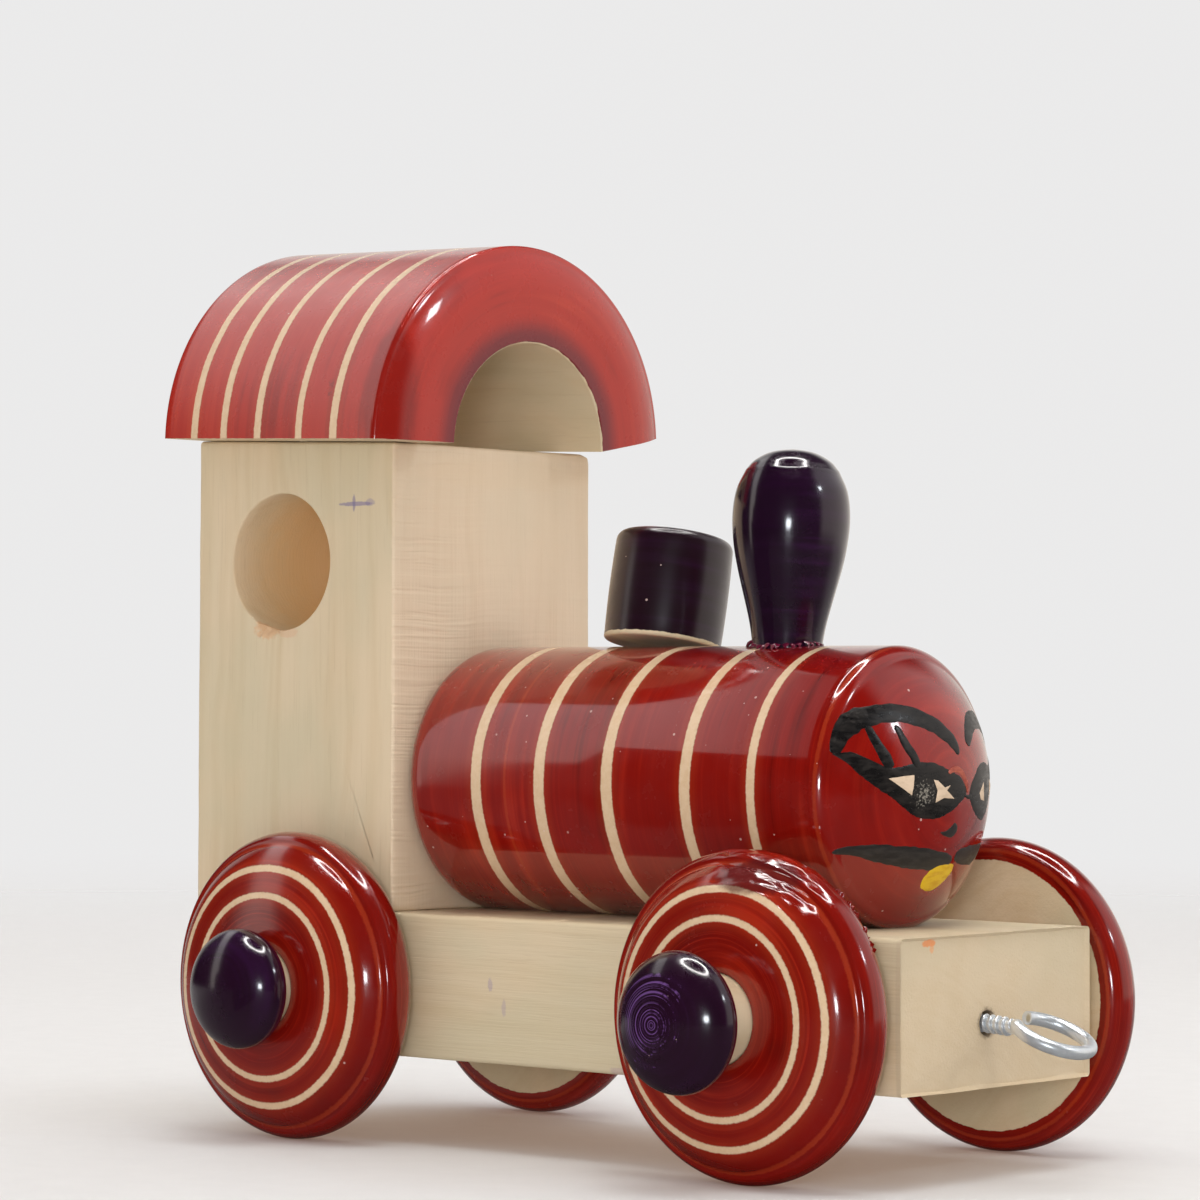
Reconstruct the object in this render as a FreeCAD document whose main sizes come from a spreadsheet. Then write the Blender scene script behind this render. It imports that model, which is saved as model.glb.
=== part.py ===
"""Wooden toy locomotive: a sawn beam and cab, turned and lacquered boiler, roof, funnels, wheels and pegs.

The frame has +X forward, +Y to the engine's left and +Z up. Its origin lies on the floor below the middle
of the engine's box. Every length is in millimetres and every angle in degrees.
"""
import FreeCAD, Part
import math
import os

import Sketcher

DRIVING_SIZES = {
    # running gear
    "front_axle_x": 44.6,
    "rear_axle_x": -58.5,
    "wheel_radius": 27.0,
    "wheel_bore_radius": 7.55,
    "wheel_hub_width": 11.8,
    "wheel_face_radius": 24.4,
    "wheel_bead_reach": 3.5,
    "wheel_bead_curve": 4.0,
    "wheel_crease_width": 6.5,
    "wheel_crease_radius": 24.5,
    "wheel_outer_band_width": 10.0,
    "wheel_outer_band_radius": 20.85,
    "wheel_shoulder_curve": 5.2,
    "wheel_dome_curve": 66.0,
    "front_right_wheel_gap": 2.8,
    "rear_right_wheel_gap": 3.2,
    "front_left_wheel_gap": 7.0,
    "rear_left_wheel_gap": 2.0,
    # axle pegs
    "peg_shank_radius": 7.5,
    "peg_tenon_radius": 5.0,
    "peg_tenon_length": 18.0,
    "front_peg_reach": 23.6,
    "front_knob_radius": 11.4,
    "rear_peg_reach": 19.7,
    "rear_knob_radius": 10.5,
    "knob_back_depth": 2.3,
    "knob_back_inset": 1.5,
    "knob_back_curve": 2.6,
    "knob_side_depth": 4.0,
    "knob_side_inset": 2.4,
    "knob_side_curve": 4.5,
    "knob_depth": 6.5,
    # chassis beam and cab
    "beam_front_x": 70.5,
    "beam_rear_x": -90.4,
    "beam_half_width": 26.0,
    "beam_bottom_z": 15.2,
    "beam_top_z": 40.2,
    "eased_edge": 0.5,
    "cab_front_x": -40.9,
    "cab_front_top_z": 122.5,
    "cab_rear_top_z": 124.4,
    "window_x": -68.9,
    "window_z": 101.9,
    "window_radius": 12.3,
    # roof arch, set out from its own rear end
    "roof_outer_radius": 35.9,
    "roof_bore_radius": 18.6,
    "roof_length": 58.1,
    "roof_crown_depth": 2.2,
    "roof_crown_band": 9.0,
    "roof_crown_curve": 18.0,
    "roof_edge": 0.8,
    "roof_leg_lift": 3.2,
    "roof_pivot_x": -65.2,
    "roof_rear_reach": 23.8,
    "roof_seat_z": 123.6,
    "roof_pitch": 2.15,
    "roof_yaw": -2.4,
    # boiler
    "boiler_radius": 23.5,
    "boiler_flat": 0.4,
    "boiler_rear_curve": 3.6,
    "boiler_shoulder_x": 50.4,
    "boiler_shoulder_reach": 2.3,
    "boiler_shoulder_drop": 1.9,
    "boiler_shoulder_curve": 3.2,
    "boiler_nose_x": 61.7,
    # steam dome and smoke stack, set out along their own axes from the boiler's centre line
    "dome_x": -5.1,
    "dome_lean": 11.0,
    "dome_lift": 0.7,
    "dome_radius": 10.3,
    "dome_length": 19.4,
    "dome_base_edge": 0.4,
    "dome_top_edge": 1.8,
    "dome_barrel_curve": 200.0,
    "dome_tenon_radius": 4.0,
    "stack_x": 25.8,
    "stack_lean": 2.6,
    "stack_seat": 0.8,
    "stack_base_radius": 5.8,
    "stack_flank_along": 13.8,
    "stack_flank_radius": 8.8,
    "stack_bulge_along": 23.1,
    "stack_bulge_radius": 10.0,
    "stack_bulge_curve": 34.0,
    "stack_cap_along": 31.1,
    "stack_cap_radius": 7.5,
    "stack_cap_curve": 14.05,
    "stack_length": 34.3,
    "stack_tenon_radius": 3.5,
    "tenon_length": 11.0,
    # glued dowels
    "dowel_radius": 4.0,
    "boiler_dowel_radius": 3.0,
    "roof_dowel_radius": 2.0,
    "dowel_half_length": 12.0,
    "roof_dowel_half_length": 8.0,
    "cab_rear_dowel_x": -79.0,
    "cab_front_dowel_x": -51.5,
    "boiler_rear_dowel_x": -22.0,
    "boiler_front_dowel_x": 31.0,
    "roof_dowel_y": 22.4,
    # screw eye
    "eye_y": -3.0,
    "eye_root_z": 25.7,
    "eye_tip_z": 26.54,
    "eye_droop": 4.0,
    "eye_thread_radius": 1.5,
    "eye_thread_embedded": 12.0,
    "eye_thread_shown": 5.2,
    "eye_wire_radius": 1.12,
    "eye_shank_shown": 7.6,
    "eye_ring_radius": 6.25,
    "eye_ring_x": 83.5,
    "eye_ring_z": 24.5,
    "eye_ring_droop": 23.0,
    "pilot_radius": 1.85,
    "pilot_depth": 2.6,
}

doc = FreeCAD.newDocument("toy_locomotive")


def make_sheet():
    """Write the driving sizes into a sheet, one alias a row, and return the sheet."""
    sheet = doc.addObject("Spreadsheet::Sheet", "sizes")
    for row, (alias, number) in enumerate(DRIVING_SIZES.items(), start=1):
        sheet.set(f"A{row}", alias)
        sheet.set(f"B{row}", str(number))
        sheet.setAlias(f"B{row}", alias)
    doc.recompute()
    return sheet


sizes = make_sheet()


def amount(formula):
    """Add up a formula of aliases, numbers and the words + and -."""
    total = 0.0
    sign = 1
    for word in formula.split():
        if word in "+-":
            sign = 1 if word == "+" else -1
        elif word[0].isdigit():
            total += sign * float(word)
        else:
            total += sign * sizes.get(word)
    return total


def linked(formula):
    """Turn a formula of aliases into an expression that reads the sheet."""
    words = []
    for word in formula.split():
        words.append(f"<<sizes>>.{word}" if word[0].isalpha() else word)
    return " ".join(words)


def place(thing, x="0", y="0", z="0", rotation=None):
    """Bind where a thing stands to the sheet and turn it by a fixed rotation."""
    thing.Placement = FreeCAD.Placement(FreeCAD.Vector(), rotation or FreeCAD.Rotation())
    for axis, formula in zip("xyz", (x, y, z)):
        thing.setExpression(f"Placement.Base.{axis}", linked(formula))
    return thing


def about(axis, angle):
    """Return a rotation of so many degrees about the X, Y or Z axis."""
    vectors = {"x": FreeCAD.Vector(1, 0, 0), "y": FreeCAD.Vector(0, 1, 0), "z": FreeCAD.Vector(0, 0, 1)}
    return FreeCAD.Rotation(vectors[axis], angle)


def origin_plane(body, role):
    """Find one of a body's own origin planes."""
    return next(feature for feature in body.Origin.OriginFeatures if feature.Role == role)


def edge_between(start, end, curve):
    """Return a line, or an arc that bulges to the left of travel (to the right if curve is negative)."""
    if curve == 0:
        return Part.LineSegment(start, end)
    middle = (start + end) / 2
    half = start.distanceToPoint(end) / 2
    left = FreeCAD.Vector(start.y - end.y, end.x - start.x, 0).normalize()
    side = 1 if curve > 0 else -1
    rise = abs(curve) - math.sqrt(curve * curve - half * half)
    return Part.Arc(start, middle + left * (side * rise), end)


def draw_outline(sketch, corners):
    """Draw a closed outline in a sketch and tie each corner and each arc to the sheet.

    A corner is (x formula, y formula) or (x formula, y formula, side, radius), where the edge that arrives
    there is an arc: side is "left" or "right" of travel, and radius is a formula or "centred" on the X axis.
    """
    points = [FreeCAD.Vector(amount(corner[0]), amount(corner[1]), 0) for corner in corners]
    ends = []
    for index, corner in enumerate(corners):
        start = points[index - 1]
        end = points[index]
        curve = 0
        if len(corner) > 2:
            radius = cap_radius(start, end) if corner[3] == "centred" else amount(corner[3])
            curve = radius if corner[2] == "left" else -radius
        edge = sketch.addGeometry(edge_between(start, end, curve), False)
        forwards = sketch.getPoint(edge, 1).distanceToPoint(start) < 1e-6
        ends.append((edge, 1 if forwards else 2, 2 if forwards else 1))
        if len(corner) > 2:
            tie_arc(sketch, edge, corner[3], f"curve_{index}")
    for index, corner in enumerate(corners):
        edge, _, finish = ends[index]
        following, begin, _ = ends[(index + 1) % len(ends)]
        sketch.addConstraint(Sketcher.Constraint("Coincident", edge, finish, following, begin))
        tie_corner(sketch, edge, finish, corner, index)


def cap_radius(start, end):
    """Return the radius of an arc from start to end whose centre lies on the X axis."""
    centre = (start.x**2 + start.y**2 - end.x**2 - end.y**2) / (2 * (start.x - end.x))
    return math.hypot(start.x - centre, start.y)


def tie_arc(sketch, edge, radius, name):
    """Give an arc its radius from the sheet, or keep its centre on the X axis."""
    if radius == "centred":
        sketch.addConstraint(Sketcher.Constraint("PointOnObject", edge, 3, -1))
        return
    tie = sketch.addConstraint(Sketcher.Constraint("Radius", edge, amount(radius)))
    sketch.renameConstraint(tie, name)
    sketch.setExpression(f"Constraints.{name}", linked(radius))


def tie_corner(sketch, edge, end, corner, index):
    """Set one corner's distances from the sketch's origin from the sheet."""
    for kind, formula, axis in (("DistanceX", corner[0], -2), ("DistanceY", corner[1], -1)):
        if formula == "0":
            sketch.addConstraint(Sketcher.Constraint("PointOnObject", edge, end, axis))
            continue
        name = f"{kind}_{index}"
        tie = sketch.addConstraint(Sketcher.Constraint(kind, -1, 1, edge, end, amount(formula)))
        sketch.renameConstraint(tie, name)
        sketch.setExpression(f"Constraints.{name}", linked(formula))


def new_sketch(body, name, role, corners):
    """Add a sketch with a closed outline on one of a body's origin planes."""
    sketch = body.newObject("Sketcher::SketchObject", name)
    sketch.AttachmentSupport = [(origin_plane(body, role), "")]
    sketch.MapMode = "FlatFace"
    draw_outline(sketch, corners)
    return sketch


def turned(label, corners, angle=360):
    """Make a lathe-turned body: the outline gives (distance along X, radius)."""
    body = doc.addObject("PartDesign::Body", label)
    profile = new_sketch(body, f"{label}_profile", "XY_Plane", corners)
    turning = body.newObject("PartDesign::Revolution", f"{label}_turning")
    turning.Profile = profile
    turning.ReferenceAxis = (profile, ["H_Axis"])
    turning.Angle = angle
    return body


def sawn(label, corners):
    """Make a sawn block as wide as the beam from a side outline of (X, Z) corners, with eased edges."""
    body = doc.addObject("PartDesign::Body", label)
    profile = new_sketch(body, f"{label}_profile", "XZ_Plane", corners)
    pad = body.newObject("PartDesign::Pad", f"{label}_pad")
    pad.Profile = profile
    pad.SideType = "Symmetric"
    pad.setExpression("Length", linked("beam_half_width + beam_half_width"))
    doc.recompute()
    easing = body.newObject("PartDesign::Chamfer", f"{label}_easing")
    easing.Base = (pad, [f"Edge{number}" for number in range(1, len(pad.Shape.Edges) + 1)])
    easing.setExpression("Size", linked("eased_edge"))
    return body


def round_bar(label, radius, length, x, y, z, rotation=None):
    """Make a plain round bar or drill that runs up from the point given, or along its turned axis."""
    bar = doc.addObject("Part::Cylinder", label)
    bar.setExpression("Radius", linked(radius))
    bar.setExpression("Height", linked(length))
    return place(bar, x, y, z, rotation)


def cut_by(label, blank, tools):
    """Cut a blank by the pieces and drills let into it, so that each has a hole of its own shape."""
    cutter = doc.addObject("Part::MultiFuse", f"{label}_cutter")
    cutter.Shapes = tools
    piece = doc.addObject("Part::Cut", label)
    piece.Base = blank
    piece.Tool = cutter
    return piece


def wheel(label, axle, gap, side):
    """Make one wheel: bare flat inner face, rounded bead, crease, lacquered dome and a running bore."""
    corners = [
        ("0", "wheel_bore_radius"),
        ("0", "wheel_face_radius"),
        ("wheel_bead_reach", "wheel_radius", "left", "wheel_bead_curve"),
        ("wheel_crease_width", "wheel_crease_radius", "left", "wheel_bead_curve"),
        ("wheel_outer_band_width", "wheel_outer_band_radius", "left", "wheel_shoulder_curve"),
        ("wheel_hub_width", "wheel_bore_radius", "left", "wheel_dome_curve"),
    ]
    body = turned(label, corners)
    across = f"beam_half_width + {gap}" if side > 0 else f"0 - beam_half_width - {gap}"
    return place(body, axle, across, "wheel_radius", about("z", 90 * side))


def axle_peg(label, axle, reach, knob, side):
    """Make one peg in a single turned piece: glued tenon, bearing shank and domed knob."""
    corners = [
        ("0 - peg_tenon_length", "0"),
        ("0 - peg_tenon_length", "peg_tenon_radius"),
        ("0", "peg_tenon_radius"),
        ("0", "peg_shank_radius"),
        (f"{reach} - knob_back_depth", "peg_shank_radius"),
        (f"{reach} - knob_back_depth", f"{knob} - knob_back_inset"),
        (reach, knob, "left", "knob_back_curve"),
        (f"{reach} + knob_side_depth", f"{knob} - knob_side_inset", "left", "knob_side_curve"),
        (f"{reach} + knob_depth", "0", "left", "centred"),
    ]
    body = turned(label, corners)
    across = "beam_half_width" if side > 0 else "0 - beam_half_width"
    return place(body, axle, across, "wheel_radius", about("z", 90 * side))


def running_gear():
    """Make the four pegs and the four wheels that turn on them."""
    pegs = []
    wheels = []
    for end, axle in (("front", "front_axle_x"), ("rear", "rear_axle_x")):
        for hand, side in (("right", -1), ("left", 1)):
            reach = f"{end}_peg_reach"
            pegs.append(axle_peg(f"{end}_{hand}_peg", axle, reach, f"{end}_knob_radius", side))
            wheels.append(wheel(f"{end}_{hand}_wheel", axle, f"{end}_{hand}_wheel_gap", side))
    return pegs, wheels


def dowels():
    """Make the hidden glued dowels: beam to cab, beam to boiler, and cab to roof."""
    joints = {}
    for end in ("rear", "front"):
        for block, radius in (("cab", "dowel_radius"), ("boiler", "boiler_dowel_radius")):
            label = f"{block}_{end}_dowel"
            low = "beam_top_z - dowel_half_length"
            joints[label] = round_bar(
                label, radius, "dowel_half_length + dowel_half_length", f"{block}_{end}_dowel_x", "0", low
            )
    for hand, across in (("right", "0 - roof_dowel_y"), ("left", "roof_dowel_y")):
        label = f"roof_{hand}_dowel"
        low = "roof_seat_z - roof_dowel_half_length"
        length = "roof_dowel_half_length + roof_dowel_half_length"
        joints[label] = round_bar(label, "roof_dowel_radius", length, "roof_pivot_x", across, low)
    return joints


def screw_eye():
    """Make the steel screw eye: thread, plain shank and closed ring, all drooping a little."""
    along = about("y", 90 + sizes.get("eye_droop"))
    bars = []
    for label, radius, shown in (
        ("eye_thread", "eye_thread_radius", "eye_thread_shown"),
        ("eye_shank", "eye_wire_radius", "eye_shank_shown"),
    ):
        length = f"eye_thread_embedded + {shown}"
        tip = "beam_front_x - eye_thread_embedded"
        bars.append(round_bar(label, radius, length, tip, "eye_y", "eye_tip_z", along))
    thread, shank = bars
    ring = doc.addObject("Part::Torus", "eye_ring")
    ring.setExpression("Radius1", linked("eye_ring_radius"))
    ring.setExpression("Radius2", linked("eye_wire_radius"))
    place(ring, "eye_ring_x", "eye_y", "eye_ring_z", about("y", sizes.get("eye_ring_droop")))
    eye = doc.addObject("Part::MultiFuse", "screw_eye")
    eye.Shapes = [thread, shank, ring]
    return eye, thread


def chassis_beam(blank, pegs, joints, thread):
    """Cut the beam for the pegs' tenons, the dowels and the screw eye with its wider hole mouth."""
    mouth = round_bar(
        "pilot_mouth", "pilot_radius", "pilot_depth + 1", "beam_front_x - pilot_depth", "eye_y", "eye_root_z",
        about("y", 90),
    )
    held = [joint for label, joint in joints.items() if not label.startswith("roof")]
    return cut_by("chassis_beam", blank, pegs + held + [thread, mouth])


def cab_block(joints):
    """Make the cab: a sawn block with a sloping top, a round window right through and dowel holes."""
    corners = [
        ("beam_rear_x", "beam_top_z"),
        ("cab_front_x", "beam_top_z"),
        ("cab_front_x", "cab_front_top_z"),
        ("beam_rear_x", "cab_rear_top_z"),
    ]
    blank = sawn("cab_blank", corners)
    across = "beam_half_width + beam_half_width + 2"
    window = round_bar(
        "window_drill", "window_radius", across, "window_x", "beam_half_width + 1", "window_z", about("x", 90)
    )
    held = [joint for label, joint in joints.items() if not label.startswith("boiler")]
    return cut_by("cab_block", blank, held + [window])


def roof_arch(joints):
    """Make the roof: a turned and bored ring sawn in half, crowned in front, with one leg sawn high."""
    face = "roof_outer_radius - roof_crown_band"
    corners = [
        ("0", "roof_bore_radius"),
        ("0", "roof_outer_radius - roof_edge"),
        ("roof_edge", "roof_outer_radius", "left", "roof_edge"),
        ("roof_length - roof_crown_depth - roof_edge", "roof_outer_radius"),
        ("roof_length - roof_crown_depth", "roof_outer_radius - roof_edge", "left", "roof_edge"),
        ("roof_length", face, "left", "roof_crown_curve"),
        ("roof_length", "roof_bore_radius"),
    ]
    body = turned("roof_blank", corners, 180)
    leg = [
        ("roof_bore_radius", "0"),
        ("roof_outer_radius", "roof_leg_lift"),
        ("roof_outer_radius + roof_edge", "0 - roof_edge"),
    ]
    wedge = new_sketch(body, "roof_leg_wedge", "YZ_Plane", leg)
    saw = body.newObject("PartDesign::Pocket", "roof_leg_saw")
    saw.Profile = wedge
    saw.SideType = "Symmetric"
    saw.setExpression("Length", "<<sizes>>.roof_length * 3")
    body.Tip = saw
    turn = about("z", sizes.get("roof_yaw")).multiply(about("y", sizes.get("roof_pitch")))
    rear = turn.multVec(FreeCAD.Vector(-sizes.get("roof_rear_reach"), 0, 0))
    pivot = FreeCAD.Vector(sizes.get("roof_pivot_x"), 0, sizes.get("roof_seat_z"))
    body.Placement = FreeCAD.Placement(pivot + rear, turn)
    held = [joint for label, joint in joints.items() if label.startswith("roof")]
    return cut_by("roof_arch", body, held)


def steam_dome():
    """Make the steam dome: a short barrel on a tenon, with its bare base just clear of the boiler."""
    corners = [
        ("0 - tenon_length", "0"),
        ("0 - tenon_length", "dome_tenon_radius"),
        ("0", "dome_tenon_radius"),
        ("0", "dome_radius - dome_base_edge"),
        ("dome_base_edge", "dome_radius", "left", "dome_base_edge"),
        ("dome_length - dome_top_edge", "dome_radius", "left", "dome_barrel_curve"),
        ("dome_length", "dome_radius - dome_top_edge", "left", "dome_top_edge"),
        ("dome_length", "0"),
    ]
    return stand_on_boiler(turned("steam_dome", corners), "dome_x", "dome_lean", sizes.get("dome_lift"))


def smoke_stack():
    """Make the smoke stack: a pear-shaped turning with its foot let into the boiler."""
    corners = [
        ("0 - tenon_length", "0"),
        ("0 - tenon_length", "stack_tenon_radius"),
        ("0", "stack_tenon_radius"),
        ("0", "stack_base_radius"),
        ("stack_flank_along", "stack_flank_radius"),
        ("stack_bulge_along", "stack_bulge_radius", "left", "stack_bulge_curve"),
        ("stack_cap_along", "stack_cap_radius", "left", "stack_cap_curve"),
        ("stack_length", "0", "left", "centred"),
    ]
    return stand_on_boiler(turned("smoke_stack", corners), "stack_x", "stack_lean", -sizes.get("stack_seat"))


def stand_on_boiler(body, x, lean, lift):
    """Stand a turned piece on the boiler, square to its side at a lean to the left of its crown."""
    turn = about("x", -sizes.get(lean)).multiply(about("y", -90))
    radial = turn.multVec(FreeCAD.Vector(1, 0, 0))
    centre = FreeCAD.Vector(sizes.get(x), 0, amount("beam_top_z + boiler_radius - boiler_flat"))
    body.Placement = FreeCAD.Placement(centre + radial * (sizes.get("boiler_radius") + lift), turn)
    body.setExpression("Placement.Base.x", linked(x))
    return body


def boiler(beam_blank, joints, funnels):
    """Make the boiler: a turned cylinder with a domed nose and a narrow glue flat on the beam."""
    edge = "cab_front_x + boiler_rear_curve"
    corners = [
        ("cab_front_x", "0"),
        ("cab_front_x", "boiler_radius - boiler_rear_curve"),
        (edge, "boiler_radius", "left", "boiler_rear_curve"),
        ("boiler_shoulder_x", "boiler_radius"),
        (
            "boiler_shoulder_x + boiler_shoulder_reach", "boiler_radius - boiler_shoulder_drop",
            "left", "boiler_shoulder_curve",
        ),
        ("boiler_nose_x", "0", "left", "centred"),
    ]
    blank = turned("boiler_blank", corners)
    place(blank, "0", "0", "beam_top_z + boiler_radius - boiler_flat")
    held = [joint for label, joint in joints.items() if label.startswith("boiler")]
    return cut_by("boiler", blank, [beam_blank] + held + funnels)


def build():
    """Build every piece and return them by node name."""
    pegs, wheels = running_gear()
    joints = dowels()
    eye, thread = screw_eye()
    corners = [
        ("beam_rear_x", "beam_bottom_z"),
        ("beam_front_x", "beam_bottom_z"),
        ("beam_front_x", "beam_top_z"),
        ("beam_rear_x", "beam_top_z"),
    ]
    beam_blank = sawn("beam_blank", corners)
    funnels = [steam_dome(), smoke_stack()]
    pieces = [
        chassis_beam(beam_blank, pegs, joints, thread), cab_block(joints), roof_arch(joints),
        boiler(beam_blank, joints, funnels), eye,
    ]
    return pieces + funnels + pegs + wheels + list(joints.values())


def check(pieces):
    """Stop if any object failed, or if a piece is missing, broken or more than one solid."""
    failed = [thing.Label for thing in doc.Objects if {"Invalid", "Error"} & set(thing.State)]
    if failed:
        raise RuntimeError(f"failed objects: {failed}")
    for piece in pieces:
        if piece.Shape.isNull() or not piece.Shape.isValid() or len(piece.Shape.Solids) != 1:
            raise RuntimeError(f"{piece.Label} is not one sound solid")


def write(pieces):
    """Write each piece to its own STEP file."""
    os.makedirs("parts", exist_ok=True)
    for piece in pieces:
        piece.Shape.exportStep(f"parts/{piece.Label}.step")
        print(piece.Label, round(piece.Shape.Volume), "mm3")


pieces = build()
doc.recompute()
check(pieces)
write(pieces)
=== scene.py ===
"""Finishes a packed wooden pull-along engine: turned, lacquered, sawn and painted pieces on its frame."""

import logging
import math
from collections.abc import Callable
from dataclasses import dataclass
from enum import Enum
from typing import Any

import bmesh
import bpy
from mathutils import Matrix
from mathutils import Vector
from mathutils import noise


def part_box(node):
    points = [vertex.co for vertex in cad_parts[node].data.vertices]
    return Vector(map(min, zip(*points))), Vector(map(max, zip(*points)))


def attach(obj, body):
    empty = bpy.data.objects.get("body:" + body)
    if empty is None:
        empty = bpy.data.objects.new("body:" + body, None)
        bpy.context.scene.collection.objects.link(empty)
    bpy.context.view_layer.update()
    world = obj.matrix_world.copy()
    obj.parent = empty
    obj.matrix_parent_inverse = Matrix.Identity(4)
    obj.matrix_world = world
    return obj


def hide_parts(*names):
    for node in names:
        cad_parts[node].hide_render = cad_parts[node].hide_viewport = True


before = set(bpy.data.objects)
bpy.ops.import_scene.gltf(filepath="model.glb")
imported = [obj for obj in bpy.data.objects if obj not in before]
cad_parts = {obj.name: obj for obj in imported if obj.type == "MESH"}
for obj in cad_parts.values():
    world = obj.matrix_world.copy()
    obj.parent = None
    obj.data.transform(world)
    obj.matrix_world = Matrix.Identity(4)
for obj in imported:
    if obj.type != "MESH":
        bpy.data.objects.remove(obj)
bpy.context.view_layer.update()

LOG = logging.getLogger("pull_along_engine")
MM = 0.001

Point = tuple[float, float]
Place = tuple[float, float, float]
Colour = tuple[float, float, float]
Source = Any


class Across(Enum):
    """Which way the turner's rings and bands follow each other on a turned piece."""

    ALONG = "along"
    RADIAL = "radial"


class Grain(Enum):
    """The axis that a wooden piece's grain runs along."""

    X = "x"
    Z = "z"


class Graph:
    """Places and joins the nodes of one tree in short words."""

    def __init__(self, tree: bpy.types.NodeTree) -> None:
        """Keep the tree that the nodes go into."""
        self.tree = tree

    def node(self, kind: str, **settings: Any) -> bpy.types.Node:
        """Add one node.

        Args:
            kind: The node's type name.
            settings: Properties to set on it.

        Returns:
            The new node.
        """
        made = self.tree.nodes.new(kind)
        for name, value in settings.items():
            setattr(made, name, value)
        return made

    def feed(self, socket: bpy.types.NodeSocket, value: Source) -> None:
        """Join a socket to another one, or give it a plain value.

        Args:
            socket: The input socket.
            value: An output socket, a number, or a tuple.
        """
        if isinstance(value, bpy.types.NodeSocket):
            self.tree.links.new(value, socket)
        elif value is not None:
            socket.default_value = value

    def fill(self, made: bpy.types.Node, values: dict[str, Source]) -> bpy.types.Node:
        """Feed several named inputs of a node.

        Args:
            made: The node.
            values: Input name to source.

        Returns:
            The same node.
        """
        for name, value in values.items():
            self.feed(made.inputs[name], value)
        return made

    def math(self, operation: str, first: Source, second: Source = None) -> bpy.types.NodeSocket:
        """Work out one sum.

        Args:
            operation: The Math node's operation.
            first: The first term.
            second: The second term, where there is one.

        Returns:
            The result's socket.
        """
        made = self.node("ShaderNodeMath", operation=operation)
        self.feed(made.inputs[0], first)
        self.feed(made.inputs[1], second)
        return made.outputs[0]

    def vector(self, operation: str, first: Source, second: Source = None) -> bpy.types.NodeSocket:
        """Work out one vector sum, or a length.

        Args:
            operation: The Vector Math node's operation.
            first: The first vector.
            second: The second vector, where there is one.

        Returns:
            The result's socket.
        """
        made = self.node("ShaderNodeVectorMath", operation=operation)
        self.feed(made.inputs[0], first)
        self.feed(made.inputs[1], second)
        return made.outputs["Value" if operation in ("LENGTH", "DOT_PRODUCT", "DISTANCE") else "Vector"]

    def split(self, value: Source) -> tuple[bpy.types.NodeSocket, ...]:
        """Return the X, Y and Z sockets of a vector."""
        made = self.node("ShaderNodeSeparateXYZ")
        self.feed(made.inputs[0], value)
        return tuple(made.outputs)

    def join(self, x: Source = 0.0, y: Source = 0.0, z: Source = 0.0) -> bpy.types.NodeSocket:
        """Make a vector of three values.

        Args:
            x: The X value.
            y: The Y value.
            z: The Z value.

        Returns:
            The vector's socket.
        """
        made = self.node("ShaderNodeCombineXYZ")
        for socket, value in zip(made.inputs, (x, y, z)):
            self.feed(socket, value)
        return made.outputs[0]

    def cloud(self, place: Source, scale: Source = 1.0, detail: float = 3.0,
              rough: float = 0.55) -> bpy.types.NodeSocket:
        """Add smooth noise.

        Args:
            place: The vector that the noise reads.
            scale: How fine the noise is.
            detail: How many finer layers it has.
            rough: How strong the finer layers are.

        Returns:
            The noise value's socket, mostly between 0.3 and 0.7.
        """
        made = self.node("ShaderNodeTexNoise")
        self.fill(made, {"Vector": place, "Scale": scale, "Detail": detail, "Roughness": rough})
        return made.outputs[0]

    def fade(self, value: Source, low: Source, high: Source, start: Source = 0.0,
             end: Source = 1.0) -> bpy.types.NodeSocket:
        """Ease a value from one level to another.

        Args:
            value: The value to follow.
            low: Where the easing starts.
            high: Where it ends.
            start: The result at low.
            end: The result at high.

        Returns:
            The eased value's socket.
        """
        made = self.node("ShaderNodeMapRange", interpolation_type="SMOOTHSTEP")
        terms = (value, low, high, start, end)
        for socket, term in zip(made.inputs, terms):
            self.feed(socket, term)
        return made.outputs[0]

    def blend(self, share: Source, first: Source, second: Source) -> bpy.types.NodeSocket:
        """Mix two colours.

        Args:
            share: How much of the second colour.
            first: The first colour.
            second: The second colour.

        Returns:
            The mixed colour's socket.
        """
        made = self.node("ShaderNodeMix", data_type="RGBA")
        wanted = {"Factor_Float": share, "A_Color": first, "B_Color": second}
        for socket in made.inputs:
            if socket.identifier in wanted:
                self.feed(socket, full(wanted[socket.identifier]))
        return next(s for s in made.outputs if s.identifier == "Result_Color")

    def level(self, share: Source, first: Source, second: Source) -> bpy.types.NodeSocket:
        """Mix two plain values.

        Args:
            share: How much of the second value.
            first: The first value.
            second: The second value.

        Returns:
            The mixed value's socket.
        """
        made = self.node("ShaderNodeMix", data_type="FLOAT")
        for socket, value in zip(made.inputs[:1] + made.inputs[2:4], (share, first, second)):
            self.feed(socket, value)
        return made.outputs[0]

    def attribute(self, name: str, output: str) -> bpy.types.NodeSocket:
        """Return one output of a named mesh attribute."""
        return self.node("ShaderNodeAttribute", attribute_name=name).outputs[output]

    def use(self, group: bpy.types.NodeTree, **values: Source) -> bpy.types.Node:
        """Place a shared group with its own values.

        Args:
            group: The node group.
            values: Input name, with _ for a space, to source.

        Returns:
            The group node.
        """
        made = self.node("ShaderNodeGroup", node_tree=group)
        return self.fill(made, {name.replace("_", " "): value for name, value in values.items()})


def full(value: Source) -> Source:
    """Return a colour of three numbers with its fourth, and anything else as it is."""
    return (*value, 1.0) if isinstance(value, tuple) and len(value) == 3 else value


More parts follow.
